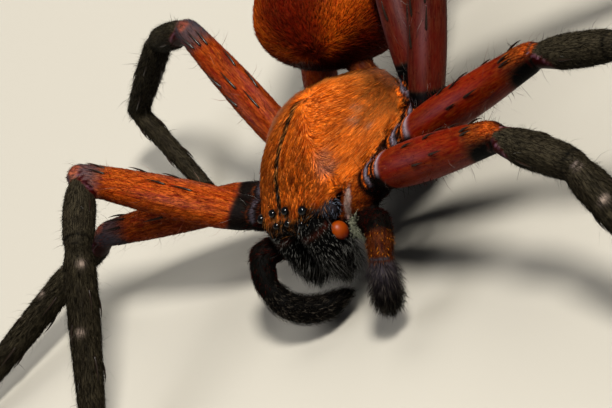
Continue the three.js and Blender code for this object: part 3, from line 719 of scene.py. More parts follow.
def read_skin(mesh):
    """Arrays for every vertex of the skin."""
    co = coords_of(mesh)
    normals = np.empty(len(mesh.vertices) * 3, np.float32)
    mesh.vertices.foreach_get("normal", normals)
    normals = normals.reshape(-1, 3).astype(float)
    owner = vertex_parts(co)
    n = len(co)
    flow, lie, uv = np.zeros((n, 3)), np.zeros((n, 3)), np.zeros((n, 2))
    share, high, ahead = np.zeros(n), np.zeros(n), np.zeros(n)
    for part in parts:
        mine = owner == part["index"]
        if not mine.any():
            continue
        p = co[mine]
        reach, tangent, offset, length = along_line(p, part["line"])
        side = np.cross(np.array(UP), tangent)
        side /= np.linalg.norm(side, axis=1)[:, None]
        up = np.cross(tangent, side)
        x, y = np.sum(offset * side, axis=1), np.sum(offset * up, axis=1)
        if part["kind"] == "carapace":
            lie[mine], flow[mine], uv[mine] = read_carapace(part, p)
        else:
            lie[mine], flow[mine], uv[mine] = read_limb(part, reach, length, tangent, x, y)
        if part["zone"] == "jaw":
            lie[mine] = jaw_lie(part, p)
        share[mine] = reach / length
        high[mine] = y / np.maximum(np.hypot(x, y), 1e-6)
        facing = -1 if part.get("leg", {}).get("side") == "left" else 1
        ahead[mine] = np.degrees(np.arctan2(facing * x, y))
    return {"co": co, "normal": normals, "owner": owner, "flow": flow, "lie": project_out(lie, normals),
            "share": share, "uv": uv, "high": high, "ahead": ahead}


# Markings: four masks per point. orange silk, red gloss, black (with some painted shade), pale (with some
# painted highlights); what is left is the dark fur
def arc(t, place, width):
    return np.exp(-((t - place) / width) ** 2)


def cheek_angle(b):
    return np.degrees(np.arctan2(np.abs(b[:, 0]), FOVEA[1] - b[:, 1]))


# Spots on each flank where the silk is worn off; their pale is a painted highlight on the bare cuticle
WORN_GLINT_SPOTS = ((2.96, 0.55, 2.07), (3.13, 0.49, 1.83), (3.05, -0.07, 1.81), (3.13, -0.12, 1.64),
              (3.39, 0.09, 1.02))
WORN_GLINT_RADIUS = 0.14


def shell_marks(here):
    """Orange silk down to the margin, a black face, rings round the back eyes, frost on the front corners,
    painted shade below the margin, painted highlights along the groove and on the worn spots.
    """
    b = here.body
    wide = np.abs(b[:, 0])
    face = 1 - smoothstep(b[:, 1] + 0.35 * b[:, 2] - 0.75 * np.maximum(wide - 1.3, 0), -4.1, -3.85)
    # Painted shade: dark below the margin, where the carapace turns under
    low = 1 - smoothstep(b[:, 2], -0.3, -0.1)
    dark = np.clip(face + low, 0, 1)
    for eye in EYES[:2]:
        for side in (1, -1):
            middle = side * eye["x"], eye["y"], carapace_surface(eye["x"], eye["y"])
            gap = np.linalg.norm(b - np.array(middle), axis=1)
            dark = np.maximum(dark, 1 - smoothstep(gap, eye["radius"] * 1.3, eye["radius"] * 1.9))
    z = b[:, 2]
    frost = face * smoothstep(wide, 1.9, 2.2) * smoothstep(z, -0.4, -0.1) * (1 - smoothstep(z, 0.3, 0.6))
    # Painted highlights: pale along the groove behind the head and on the worn spots
    groove_glint = arc(cheek_angle(b), 36, 3) * smoothstep(z, 0.8, 1.1) * (1 - smoothstep(z, 1.7, 2.1))
    wear_and_glint = np.zeros(len(b))
    for spot in WORN_GLINT_SPOTS:
        for side in (1, -1):
            gap = np.linalg.norm(b - np.array(spot) * (side, 1, 1), axis=1)
            wear_and_glint = np.maximum(wear_and_glint, np.exp(-(gap / WORN_GLINT_RADIUS) ** 2))
    return 1 - dark, dark * 0, dark, 0.1 * frost + 0.35 * groove_glint + 0.75 * wear_and_glint


def femur_marks(here):
    """Red or silky length, black at its root and knee, with a mauve crescent on the near left legs."""
    t, high, part = here.share, here.high, here.part
    silk = part["leg"]["silk"]
    left = part["leg"]["side"] == "left"
    tip = 0.25 * left * smoothstep(t + 0.06 * high, 0.9, 1.0) * smoothstep(high, 0.5, 0.9)
    tuft = smoothstep(t, 0.98, 1.01) * smoothstep(high, 0.75, 0.95)
    base = 1 - smoothstep(t + 0.02 * high, 0.1, 0.14)
    shown = smoothstep(high, 0.45, 0.7) * (part["leg"]["pair"] < 3) * left
    crescent = arc(t, 0.09, 0.022) * shown
    edge = arc(t, 0.045, 0.012) * shown
    sheen = 0.14 * arc(high, 0.75, 0.14) * arc(t, 0.42, 0.22) * (1 - silk)
    orange = np.clip(silk + tip, 0, 1) * (1 - base) + edge
    lip = smoothstep(t - 0.1 * high, 0.84, 0.95)
    cap = smoothstep(t, 0.81, 0.92) * (0.5 if left else 0.85)
    # Painted shade: the third and fourth left femora are darkened
    shade = 0.35 * left * (part["leg"]["pair"] > 2)
    black = np.clip(0.9 * base + lip * (1 - 0.85 * smoothstep(high, 0.0, 0.6)) + cap + shade, 0, 1)
    black = black * (1 - 0.95 * edge) * (1 - 0.8 * tuft)
    # A little grey on the dark knee caps of the right legs
    wear_and_glint = 0.15 * cap * (not left)
    return orange, (1 - orange) * (1 - black), black, 0.9 * crescent + sheen + wear_and_glint


STRIP_ENDS = ((2.65, -2.3, -0.3), (1.7, -2.65, -1.3))


def near_strip(b, side):
    """Nearness to the pale strip on the front of the first leg's base."""
    start, end = (np.array(p) * (side, 1, 1) for p in STRIP_ENDS)
    way = end - start
    t = np.clip((b - start) @ way / (way @ way), 0, 1)
    gap = np.linalg.norm(b - start - t[:, None] * way, axis=1)
    return (1 - smoothstep(gap + 0.12 * t, 0.24, 0.32)) * (0.85 + 0.15 * np.sin(9 * t + 20 * gap))


def coxa_marks(here):
    """Brown base, then a mauve crescent between two lines of orange hair on top of the joint."""
    b, t, high, part = here.body, here.share, here.high, here.part
    left = part["leg"]["side"] == "left"
    shown = smoothstep(high, 0.2, 0.5) * (1.0 if left else 0.25)
    first = part["leg"]["pair"] == 1
    # Brown mostly on the first pair and on top: the dark elsewhere is partly the coxa's own colour, partly
    # painted shade of the gap under the carapace's margin
    brown = (0.5 if first else 0.15) * (1 - smoothstep(t, 0.62, 0.74)) * smoothstep(high, -0.7, 0.2)
    pale = 0.95 * arc(t, 0.9, 0.03) * shown
    orange = (arc(t, 0.8, 0.025) + arc(t, 0.99, 0.025)) * shown
    black = (1 - brown) * (1 - 0.95 * np.clip(orange, 0, 1))
    if first:
        strip = near_strip(b, 1 if left else -1)
        pale = np.maximum(pale, strip)
        black = black * (1 - 0.8 * strip)
    return np.clip(orange + brown, 0, 1), t * 0, black, pale


def cheek_marks(here):
    b, t = here.body, here.share
    frost = smoothstep(-b[:, 1], 2.9, 3.3) * smoothstep(b[:, 2], -0.6, -0.2)
    return t * 0, t * 0, t * 0 + 1, 0.1 * frost


# Pale spots on the shins: place along the shin and degrees from its top towards the front
SPOTS = {("right", 1): ((0.11, 60), (0.5, 33)), ("left", 2): ((0.04, 50), (0.3, 20)),
         "others": ((0.05, -12), (0.28, 3))}


def distal_marks(here):
    t, ahead, part = here.share, here.ahead, here.part
    joint = arc(t, 0.0, 0.035) + arc(t, 1.0, 0.025)
    black, red, pale = 0.9 * joint, t * 0, t * 0
    leg = part["leg"]
    if part["length"] == "tibia":
        for place, way in SPOTS.get((leg["side"], leg["pair"]), SPOTS["others"]):
            pale = pale + 0.5 * arc(t, place, 0.018) * arc(ahead, way, 14)
    if part["length"] == "patella":
        turn = np.abs(ahead)
        line = np.clip(0.1 + 0.0047 * (turn - 21), 0.06, 0.34)
        pocket = (1 - smoothstep(t - line, -0.03, 0.01)) * smoothstep(turn, 14, 26)
        crescent = arc(t - line, -0.05, 0.012) * smoothstep(turn, 18, 30) * (1 - smoothstep(turn, 70, 95))
        red = pocket
        black = np.clip(0.9 * joint * (1 - pocket) + 0.82 * pocket, 0, 1)
        pale = (0.75 if leg["side"] == "left" else 0.35) * crescent
    return t * 0, red, black, pale


def jaw_marks(here):
    t = here.share
    brow = 0.5 * arc(t, 0.04, 0.07)
    return t * 0, brow, 1 - brow, t * 0


def palp_marks(here):
    t, part = here.share, here.part
    left = part["palp"] == "left"
    if part["zone"] in ("palp_coxa", "palp_femur"):
        return t * 0, t * 0 + 0.25, t * 0 + 0.92, t * 0
    if part["zone"] == "palp_tarsus":
        return t * 0, t * 0, t * 0 + 0.95, (0.12 if left else 0.0) * (1 - smoothstep(t, 0.1, 0.6))
    bright = 0.24 * smoothstep(t, 0.3, 0.5) if left else t * 0
    return bright, t * 0, 0.95 * (1 - 0.6 * bright), t * 0


def abdomen_marks(here):
    t, ahead = here.share, here.ahead
    glint = 0.4 * arc(np.abs(ahead), 52, 18) * (1 - smoothstep(t, 0.2, 0.5))
    return 0.04 + glint, t * 0 + 0.9, 0.3 * (1 - glint), t * 0


def under_marks(here):
    t = here.share
    return t * 0 + 0.12, t * 0 + 0.25, t * 0 + 0.6, t * 0


ZONE_MARKS = {
    "shell": shell_marks, "femur": femur_marks, "coxa": coxa_marks, "distal": distal_marks,
    "jaw": jaw_marks, "cheek": cheek_marks, "abdomen": abdomen_marks, "under": under_marks,
    "joint": under_marks, "palp_coxa": palp_marks, "palp_femur": palp_marks,
    "palp_patella": palp_marks, "palp_tarsus": palp_marks,
}


def markings(skin):
    marks = np.zeros((len(skin["co"]), 4))
    body = body_coords(skin["co"])
    for part in parts:
        mine = skin["owner"] == part["index"]
        if mine.any():
            here = SimpleNamespace(body=body[mine], share=skin["share"][mine], high=skin["high"][mine],
                                   ahead=skin["ahead"][mine], part=part)
            found = ZONE_MARKS[part["zone"]](here)
            marks[mine] = np.stack([v + np.zeros(mine.sum()) for v in found], axis=1)
    return np.clip(marks, 0, 1)


def hair_lengths(skin):
    """How long the coat grows at each vertex, as a share of its zone's length."""
    long = np.ones(len(skin["co"]))
    for part in parts:
        mine = skin["owner"] == part["index"]
        t = skin["share"][mine]
        if part["zone"] == "jaw":
            long[mine] = 0.2 + 0.75 * smoothstep(t, 0.35, 0.75)
        elif part["zone"] == "palp_tarsus" and part["palp"] == "right":
            long[mine] = 0.55
        elif part["zone"] == "palp_patella":
            long[mine] = 0.65
        elif part["zone"] == "distal":
            long[mine] = 0.75 + 0.25 * (part["length"] == "tibia")
        elif part["zone"] == "shell":
            long[mine] = 1 - 0.35 * (1 - smoothstep(t, 0.0, 0.3))
    return long


def write_attribute(mesh, name, kind, values):
    attribute = mesh.attributes.new(name, kind, "POINT")
    key = {"FLOAT": "value", "FLOAT_VECTOR": "vector", "FLOAT_COLOR": "color"}[kind]
    attribute.data.foreach_set(key, np.ascontiguousarray(values, np.float32).ravel())


# Coat: tufts as thin closed blades and hairs, joined from arrays
coat_ground = {"triangles": 0}


def triangles_of(mesh):
    mesh.calc_loop_triangles()
    tri = np.empty(len(mesh.loop_triangles) * 3, np.int32)
    mesh.loop_triangles.foreach_get("vertices", tri)
    return tri.reshape(-1, 3)


def sample_roots(skin, tris, density):
    """Random roots on the skin; density is tufts per square millimetre at each vertex."""
    a, b, c = (skin["co"][tris[:, k]] for k in range(3))
    area = np.linalg.norm(np.cross(b - a, c - a), axis=1) / 2
    weight = area * density[tris].mean(axis=1)
    count = int(weight.sum())
    pick = rng.choice(len(tris), size=count, p=weight / weight.sum())
    r1, r2 = np.sqrt(rng.random(count)), rng.random(count)
    w = np.stack([1 - r1, r1 * (1 - r2), r1 * r2], axis=1)
    corner = tris[pick]

    def mix(values):
        return np.einsum("ij,ij...->i...", w, values[corner])

    first = corner[np.arange(count), np.argmax(w, axis=1)]
    normal = mix(skin["normal"])
    normal /= np.linalg.norm(normal, axis=1)[:, None]
    return {"co": mix(skin["co"]), "normal": normal, "lie": project_out(mix(skin["lie"]), normal),
            "flow": skin["flow"][first], "marks": mix(skin["marks"]), "uv": skin["uv"][first],
            "owner": skin["owner"][first], "long": mix(skin["long"])}


def turned(v, axis, angle):
    c, s = np.cos(angle)[:, None], np.sin(angle)[:, None]
    return v * c + np.cross(axis, v) * s


# How deep a tuft's root is sunk, half the width of its patch in the unwrap, and its least height off the floor
SINK = 0.05
PATCH = 0.0015
FLOOR_GAP = 0.004
# Corners of one tuft: a bent blade with a middle ring, and a short straight hair
BLADE_FACES = np.array([0, 2, 1, 0, 1, 4, 3, 1, 2, 5, 4, 2, 0, 3, 5, 3, 4, 6, 4, 5, 6, 5, 3, 6])
BLADE_SIZES = np.array([3, 4, 4, 4, 3, 3, 3])
BLADE_PATCH = np.array([(-1, -1), (1, -1), (0, -1), (-1, 0), (1, 0), (0, 0), (0, 1)]) * PATCH
BLADE_TIP = [0, 0, 0, 0.45, 0.45, 0.45, 1.0]
HAIR_FACES = np.array([0, 2, 1, 0, 1, 3, 1, 2, 3, 2, 0, 3])
HAIR_SIZES = np.array([3, 3, 3, 3])
HAIR_PATCH = np.array([(-1, -1), (1, -1), (0, 0), (0, 1)]) * PATCH
HAIR_TIP = [0, 0, 0, 1.0]


def blade_corners(roots, length, width, rise, bend):
    """A root ring, a middle ring and a point: the blade rises, then turns over along its lie."""
    normal, lie = roots["normal"], roots["lie"]
    across = np.cross(normal, lie)
    late_rise = rise - np.radians(bend)
    early = lie * np.cos(rise)[:, None] + normal * np.sin(rise)[:, None]
    late = lie * np.cos(late_rise)[:, None] + normal * np.sin(late_rise)[:, None]
    base = roots["co"] - normal * SINK
    middle = roots["co"] + early * (length * 0.45)[:, None]
    tip = middle + late * (length * 0.55)[:, None]
    half, deep = (width / 2)[:, None], (width * 0.4)[:, None]
    return np.stack([base - across * half, base + across * half, base + normal * deep,
                     middle - across * half * 0.8, middle + across * half * 0.8, middle + normal * deep * 0.8,
                     tip], axis=1)


def hair_corners(roots, length, width, rise):
    """A straight three-sided hair that lies on the skin."""
    normal, lie = roots["normal"], roots["lie"]
    across = np.cross(normal, lie)
    way = lie * np.cos(rise)[:, None] + normal * np.sin(rise)[:, None]
    base = roots["co"] - normal * (SINK * 0.4)
    half, deep = (width / 2)[:, None], (width * 0.7)[:, None]
    return np.stack([base - across * half, base + across * half, base + normal * deep,
                     roots["co"] + way * length[:, None]], axis=1)


def repeated_mesh(name, corners, faces, sizes):
    """One mesh of many like tufts, from their corners and the faces of one."""
    n, count = corners.shape[:2]
    verts = corners.reshape(-1, 3)
    verts[:, 2] = np.maximum(verts[:, 2], FLOOR_GAP)
    mesh = bpy.data.meshes.new(name)
    mesh.vertices.add(n * count)
    mesh.vertices.foreach_set("co", (verts * MM).astype(np.float32).ravel())
    mesh.loops.add(n * len(faces))
    loops = (faces[None, :] + np.arange(n)[:, None] * count).astype(np.int32)
    mesh.loops.foreach_set("vertex_index", loops.ravel())
    mesh.polygons.add(n * len(sizes))
    starts = np.concatenate([[0], np.cumsum(sizes)[:-1]])
    starts = (starts[None, :] + np.arange(n)[:, None] * len(faces)).astype(np.int32)
    mesh.polygons.foreach_set("loop_start", starts.ravel())
    mesh.polygons.foreach_set("use_smooth", np.ones(n * len(sizes), bool))
    mesh.update(calc_edges=True)
    return mesh


def tuft_mesh(name, roots, length, width, lift, bend, stray):
    """All tufts of a piece in one object, with the skin's markings and its unwrap at their roots."""
    n = len(roots["co"])
    roots["lie"] = turned(roots["lie"], roots["normal"], rng.normal(0, stray, n))
    rise = np.radians(lift) * (1 + rng.normal(0, 0.3, n))
    if bend:
        corners = blade_corners(roots, length, width, rise, bend)
        faces, sizes, patch, tips = BLADE_FACES, BLADE_SIZES, BLADE_PATCH, BLADE_TIP
    else:
        corners = hair_corners(roots, length, width, rise)
        faces, sizes, patch, tips = HAIR_FACES, HAIR_SIZES, HAIR_PATCH, HAIR_TIP
    mesh = repeated_mesh(name, corners, faces, sizes)
    for label, kind, values in (("place", "FLOAT_VECTOR", body_coords(roots["co"])),
                                ("flow", "FLOAT_VECTOR", roots["flow"]),
                                ("marks", "FLOAT_COLOR", roots["marks"]),
                                ("shade", "FLOAT", rng.random(n))):
        write_attribute(mesh, label, kind, np.repeat(values, len(tips), axis=0))
    write_attribute(mesh, "tip", "FLOAT", np.tile(tips, n))
    uv = (roots["uv"][:, None, :] + patch[faces][None, :, :]).astype(np.float32)
    mesh.uv_layers.new(name="OFBake").data.foreach_set("uv", uv.ravel())
    obj = bpy.data.objects.new(name, mesh)
    bpy.context.scene.collection.objects.link(obj)
    return obj


# Every coat: name, zones, mask, finish, slot, tufts per square millimetre, length, width, lift off the skin
# in degrees, how far it strays from its lie, and how many degrees it bends back (none: a straight hair)
COATS = (
    ("coat_carapace", ("shell",), "silk", "silk_hair", "carapace", 620, 0.5, 0.04, 6, 0.07, 0),
    ("coat_face", ("shell",), "face", "bristle", "carapace", 160, 0.24, 0.022, 30, 0.5, 0),
    ("coat_cheek", ("cheek",), "every", "frost_hair", "carapace", 220, 0.26, 0.022, 30, 0.5, 0),
    ("coat_femur", ("femur",), "thigh", "sleek_hair", "femur", 420, 0.28, 0.022, 7, 0.1, 0),
    ("coat_distal", ("distal",), "furry", "leg_fur", "distal_leg", 130, 0.34, 0.028, 11, 0.16, 0),
    ("coat_abdomen", ("abdomen",), "every", "velvet_hair", "abdomen", 170, 0.42, 0.034, 9, 0.14, 0),
    ("coat_coxa", ("coxa", "joint", "under"), "every", "velvet_hair", "coxa", 120, 0.3, 0.026, 16, 0.3, 0),
    ("coat_jaw", ("jaw",), "every", "bristle", "chelicera", 230, 0.85, 0.02, 32, 0.12, 12),
    ("coat_palp_brush", ("palp_tarsus",), "every", "brush_hair", "palp_brush", 190, 0.6, 0.02, 34, 0.25, 22),
    ("coat_palp", ("palp_coxa", "palp_femur", "palp_patella"), "every", "velvet_hair", "palp",
     120, 0.35, 0.024, 18, 0.25, 0),
    ("coat_palp_gold", ("palp_patella",), "gold", "gold_hair", "palp", 60, 0.38, 0.024, 32, 0.35, 12),
    ("coat_palp_lobe", ("palp_femur", "palp_coxa", "under"), "lobe", "sage_hair", "palp",
     900, 0.4, 0.024, 45, 0.5, 25),
    ("coat_long_hairs", ("femur", "distal", "coxa"), "every", "bristle", "distal_leg",
     1.6, 0.85, 0.014, 55, 0.5, 25),
    ("coat_down", ("femur",), "bald", "leg_fur", "femur", 14, 0.3, 0.012, 45, 0.5, 0),
    ("coat_fuzz", ("distal",), "furry", "leg_fur", "distal_leg", 60, 0.3, 0.014, 42, 0.5, 0),
)


def grow_coat(name, zones, where, material, slot, density, length, width, lift, stray, bend):
    """Coat of the named zones, in pieces small enough each. where scales the density at each vertex."""
    skin, tris = coat_ground["skin"], coat_ground["tris"]
    chosen = np.isin(skin["owner"], [p["index"] for p in parts if p["zone"] in zones])
    amount = np.where(chosen, density * (1.0), 0.0) * where
    roots = sample_roots(skin, tris, amount)
    n = len(roots["co"])
    triangles = n * (10 if bend else 4)
    count = math.ceil(triangles / MOST_TRIANGLES)
    order = np.argsort(roots["owner"], kind="stable")
    for k in range(count):
        rows = order[k * n // count:(k + 1) * n // count]
        some = {key: value[rows] for key, value in roots.items()}
        size = length * (1 + rng.normal(0, 0.22, len(rows))).clip(0.4, 1.6) * some["long"]
        wide = width * (1 + rng.normal(0, 0.25, len(rows))).clip(0.4, 1.8)
        room = cad_bounds[1][2] / MM + PROUD_HAIR - some["co"][:, 2]
        label = name if count == 1 else f"{name}_{k + 1}"
        piece = tuft_mesh(label, some, np.minimum(size, room.clip(0.1)), wide, lift, bend, stray)
        piece.data.materials.append(material)
        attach(piece, "root")
    coat_ground["triangles"] += triangles
    print(name, "tufts", n, "pieces", count)


# Materials
def tone(code):
    """Linear colour from a display colour."""
    out = []
    for k in (0, 2, 4):
        c = int(code[k:k + 2], 16) / 255
        out.append(c / 12.92 if c <= 0.04045 else ((c + 0.055) / 1.055) ** 2.4)
    return (*out, 1.0)


class Tree:
    """Short hand for wiring shader nodes."""

    def __init__(self, tree):
        self.tree = tree

    def put(self, kind, inputs=None, **settings):
        node = self.tree.nodes.new(kind)
        for key, value in settings.items():
            setattr(node, key, value)
        for key, value in (inputs or {}).items():
            self.feed(node.inputs[key], value)
        return node

    def feed(self, socket, value):
        if isinstance(value, bpy.types.NodeSocket):
            self.tree.links.new(value, socket)
        else:
            socket.default_value = value

    def math(self, operation, a, b=0.0, third=0.0):
        node = self.put("ShaderNodeMath", {0: a, 1: b, 2: third}, operation=operation)
        return node.outputs[0]

    def mix(self, factor, a, b, blend="MIX"):
        node = self.put("ShaderNodeMix", data_type="RGBA", blend_type=blend)
        self.feed(node.inputs[0], factor)
        self.feed(node.inputs[6], a)
        self.feed(node.inputs[7], b)
        return node.outputs[2]

    def noise(self, vector, scale, detail=3.0, rough=0.55):
        node = self.put("ShaderNodeTexNoise",
                        {"Vector": vector, "Scale": scale, "Detail": detail, "Roughness": rough})
        return node.outputs[0]

    def inverse(self, value):
        return self.math("SUBTRACT", 1.0, value)

    def times(self, a, b):
        return self.math("MULTIPLY", a, b)

    def between(self, value, low, high):
        node = self.put("ShaderNodeMapRange", {"Value": value, "From Min": low, "From Max": high},
                        interpolation_type="SMOOTHSTEP")
        return node.outputs[0]

    def stretched(self, vector, scale):
        return self.put("ShaderNodeMapping", {"Vector": vector, "Scale": scale}).outputs[0]


def new_group(name, ins, outs):
    group = bpy.data.node_groups.new(name, "ShaderNodeTree")
    for label, kind in ins:
        group.interface.new_socket(label, in_out="INPUT", socket_type=kind)
    for label, kind in outs:
        group.interface.new_socket(label, in_out="OUTPUT", socket_type=kind)
    tree = Tree(group)
    return group, tree, tree.put("NodeGroupInput"), tree.put("NodeGroupOutput")


def streak_group():
    """Fine streaks that run with the lie of the coat."""
    group, t, inp, out = new_group("coat_streaks", [("Flow", "NodeSocketVector")],
                                   [("Fine", "NodeSocketFloat"), ("Broad", "NodeSocketFloat"),
                                    ("Strand", "NodeSocketFloat")])
    fine = t.noise(t.stretched(inp.outputs[0], (1.8, 18, 18)), 1.0, 3.0, 0.6)
    broad = t.noise(t.stretched(inp.outputs[0], (0.35, 1.6, 1.6)), 1.0, 4.0, 0.6)
    t.feed(out.inputs[0], fine)
    t.feed(out.inputs[1], broad)
    t.feed(out.inputs[2], t.noise(t.stretched(inp.outputs[0], (1.1, 9, 9)), 1.0, 3.0, 0.6))
    return group


# Dark line down the front of the back: its soft edge, where it fades out, and the edge of its parting
LINE_EDGE = (0.16, 0.24)
LINE_END = (0.7, 1.7)
PARTING_EDGE = (0.17, 0.28)


def markings_group():
    """Colours of the skin and coat, from the masks and from the place on the front body."""
    group, t, inp, out = new_group(
        "spider_markings",
        [("Marks", "NodeSocketColor"), ("Black", "NodeSocketFloat"), ("Place", "NodeSocketVector"),
         ("Fine", "NodeSocketFloat"), ("Broad", "NodeSocketFloat"), ("Strand", "NodeSocketFloat"),
         ("Pale", "NodeSocketFloat")],
        [("Color", "NodeSocketColor"), ("Rough", "NodeSocketFloat"), ("Red", "NodeSocketFloat")])
    marks = t.put("ShaderNodeSeparateColor", {0: inp.outputs["Marks"]})
    orange, red, black = marks.outputs[0], marks.outputs[1], marks.outputs[2]
    fine, broad = inp.outputs["Fine"], inp.outputs["Broad"]
    place = t.put("ShaderNodeSeparateXYZ", {0: inp.outputs["Place"]})
    x, y = place.outputs[0], place.outputs[1]
    strand = inp.outputs["Strand"]
    fur = t.mix(t.between(fine, 0.35, 0.7), tone("0b0906"), tone("2c271c"))
    fur = t.mix(t.times(t.between(broad, 0.35, 0.75), 0.6), fur, tone("16120c"))
    gloss = t.mix(t.between(broad, 0.3, 0.7), tone("300000"), tone("4a0200"))
    silk = t.mix(t.between(fine, 0.3, 0.7), tone("8e2400"), tone("ff7e1c"))
    silk = t.mix(t.inverse(t.between(strand, 0.3, 0.55)), silk, tone("701a00"))
    silk = t.mix(t.times(t.between(broad, 0.5, 0.8), 0.5), silk, tone("b43c00"))
    coal = t.mix(t.between(fine, 0.5, 0.8), tone("010101"), tone("080706"))
    base = t.mix(red, fur, gloss)
    base = t.mix(orange, base, silk)
    base = t.mix(black, base, coal)
    # Pale holds real pale marks (crescents, strip, frost, spots) and painted highlights (the worn spots and
    # groove on the back, the violet sheen on the red femora); over red it turns violet
    pale = t.mix(black, tone("98867a"), tone("706670"))
    pale = t.mix(red, pale, tone("6c4654"))
    base = t.mix(inp.outputs["Pale"], base, pale)
    wobble = t.times(t.math("SUBTRACT", broad, 0.5), 0.18)
    off_line = t.math("ABSOLUTE", t.math("ADD", x, wobble))
    line = t.inverse(t.between(off_line, *LINE_EDGE))
    ahead = t.inverse(t.between(y, *LINE_END))
    line = t.times(t.times(line, ahead), orange)
    glitter = t.mix(t.between(fine, 0.62, 0.72), tone("040404"), tone("4c4e52"))
    base = t.mix(line, base, glitter)
    t.feed(out.inputs[0], base)
    rough = t.math("SUBTRACT", 0.62, t.times(red, 0.3))
    t.feed(out.inputs[1], rough)
    t.feed(out.inputs[2], t.times(red, t.inverse(black)))
    return group


def new_material(name):
    material = bpy.data.materials.new(name)
    material.use_nodes = True
    material.node_tree.nodes.clear()
    tree = Tree(material.node_tree)
    out = tree.put("ShaderNodeOutputMaterial")
    shader = tree.put("ShaderNodeBsdfPrincipled")
    tree.tree.links.new(shader.outputs[0], out.inputs[0])
    return material, tree, shader


def attribute(tree, name, output="Vector"):
    return tree.put("ShaderNodeAttribute", attribute_name=name).outputs[output]


def use_group(tree, group, inputs):
    node = tree.put("ShaderNodeGroup", node_tree=group)
    for key, value in inputs.items():
        tree.feed(node.inputs[key], value)
    return node


def marked(tree, streaks, marks):
    lines = use_group(tree, streaks, {"Flow": attribute(tree, "flow")})
    marks_node = tree.put("ShaderNodeAttribute", attribute_name="marks")
    return lines, use_group(tree, marks, {
        "Marks": marks_node.outputs["Color"], "Pale": marks_node.outputs["Alpha"],
        "Place": attribute(tree, "place"), "Fine": lines.outputs[0], "Broad": lines.outputs[1],
        "Strand": lines.outputs[2]})


def skin_material(streaks, marks):
    material, t, shader = new_material("spider_skin")
    lines, paint = marked(t, streaks, marks)
    t.feed(shader.inputs["Base Color"], paint.outputs["Color"])
    t.feed(shader.inputs["Roughness"], paint.outputs["Rough"])
    shine = t.math("MULTIPLY_ADD", paint.outputs["Red"], 0.01, third=0.02)
    t.feed(shader.inputs["Specular IOR Level"], shine)
    bump = t.put("ShaderNodeBump", {"Height": lines.outputs[0], "Strength": 0.35, "Distance": 0.00005})
    t.feed(shader.inputs["Normal"], bump.outputs[0])
    return material


# root_dark: how dark the root is. tip_share: how much of tip_colour the point of a chosen hair shows.
# dark_share: how dark the darkest hairs are. gleam, shine and velvety: metallic, specular and sheen.
HAIR_FINISHES = {
    "silk_hair": {"root_dark": 0.45, "tip_colour": "ffa04a", "tip_share": 0.6, "dark_share": 0.5,
                  "rough": 0.32, "gleam": 0.2, "shine": 0.25, "velvety": 0.1},
    "sleek_hair": {"root_dark": 0.3, "tip_colour": "c85010", "tip_share": 0.3, "dark_share": 0.3,
                   "rough": 0.4, "gleam": 0.1, "shine": 0.12},
    "velvet_hair": {"root_dark": 0.4, "tip_colour": "7a1c04", "tip_share": 0.35, "dark_share": 0.4,
                    "rough": 0.5, "shine": 0.04},
    "leg_fur": {"root_dark": 0.5, "tip_colour": "625a46", "tip_share": 0.35, "dark_share": 0.4,
                "rough": 0.6, "shine": 0.05},
    "bristle": {"root_dark": 0.6, "tip_colour": "a8a69e", "tip_share": 0.45, "dark_share": 0.8,
                "rough": 0.45, "shine": 0.02},
    "brush_hair": {"root_dark": 0.5, "tip_colour": "8c8070", "tip_share": 0.3, "dark_share": 0.7,
                   "rough": 0.45, "shine": 0.02},
    "frost_hair": {"root_dark": 0.9, "tip_colour": "a8b4cc", "tip_share": 0.75, "dark_share": 0.9,
                   "rough": 0.45, "shine": 0.03},
    "sage_hair": {"root_dark": 0.2, "tip_colour": "9a9c84", "tip_share": 0.9, "dark_share": 0.0,
                  "rough": 0.5, "shine": 0.03, "chosen": (-0.4, 0.3)},
    "gold_hair": {"root_dark": 0.6, "tip_colour": "f08a10", "tip_share": 0.8, "dark_share": 0.5,
                  "rough": 0.4, "shine": 0.1},
}


def coat_material(name, streaks, marks, root_dark, tip_colour, tip_share, dark_share, rough, shine,
                  gleam=0.0, velvety=0.0, chosen=(0.65, 0.95)):
    """Hair of the coat: the skin's own markings, darker at the root and paler to the point."""
    material, t, shader = new_material(name)
    _, paint = marked(t, streaks, marks)
    tip = attribute(t, "tip", "Fac")
    shade = attribute(t, "shade", "Fac")
    colour = t.mix(t.times(t.inverse(tip), root_dark), paint.outputs["Color"], tone("050302"))
    dim = t.times(t.inverse(t.between(shade, 0.1, 0.7)), dark_share)
    colour = t.mix(dim, colour, tone("000000"))
    pale = t.times(t.times(tip, t.between(shade, *chosen)), tip_share)
    colour = t.mix(pale, colour, tone(tip_colour))
    t.feed(shader.inputs["Base Color"], colour)
    shader.inputs["Roughness"].default_value = rough
    t.feed(shader.inputs["Metallic"], t.times(shade, gleam))
    shader.inputs["Specular IOR Level"].default_value = shine
    shader.inputs["Specular Tint"].default_value = tone(tip_colour)
    shader.inputs["Sheen Weight"].default_value = velvety
    shader.inputs["Sheen Roughness"].default_value = 0.5
    shader.inputs["Sheen Tint"].default_value = tone(tip_colour)
    return material


def clouded_material(name, dark, light, scale, detail, rough, shine=0.5):
    """Plain finish with a faint cloud of two colours."""
    material, t, shader = new_material(name)
    cloud = t.noise(t.put("ShaderNodeTexCoord").outputs["Object"], scale, detail)
    t.feed(shader.inputs["Base Color"], t.mix(cloud, tone(dark), tone(light)))
    shader.inputs["Roughness"].default_value = rough
    shader.inputs["Specular IOR Level"].default_value = shine
    return material


def eye_material():
    return clouded_material("eye_glass", "010101", "040506", 3000.0, 2.0, 0.04, 0.2)


def horn_material(name, dark, light, rough):
    """Smooth dark horn of spines, fangs and claws."""
    return clouded_material(name, dark, light, 900.0, 3.0, rough, 0.2)


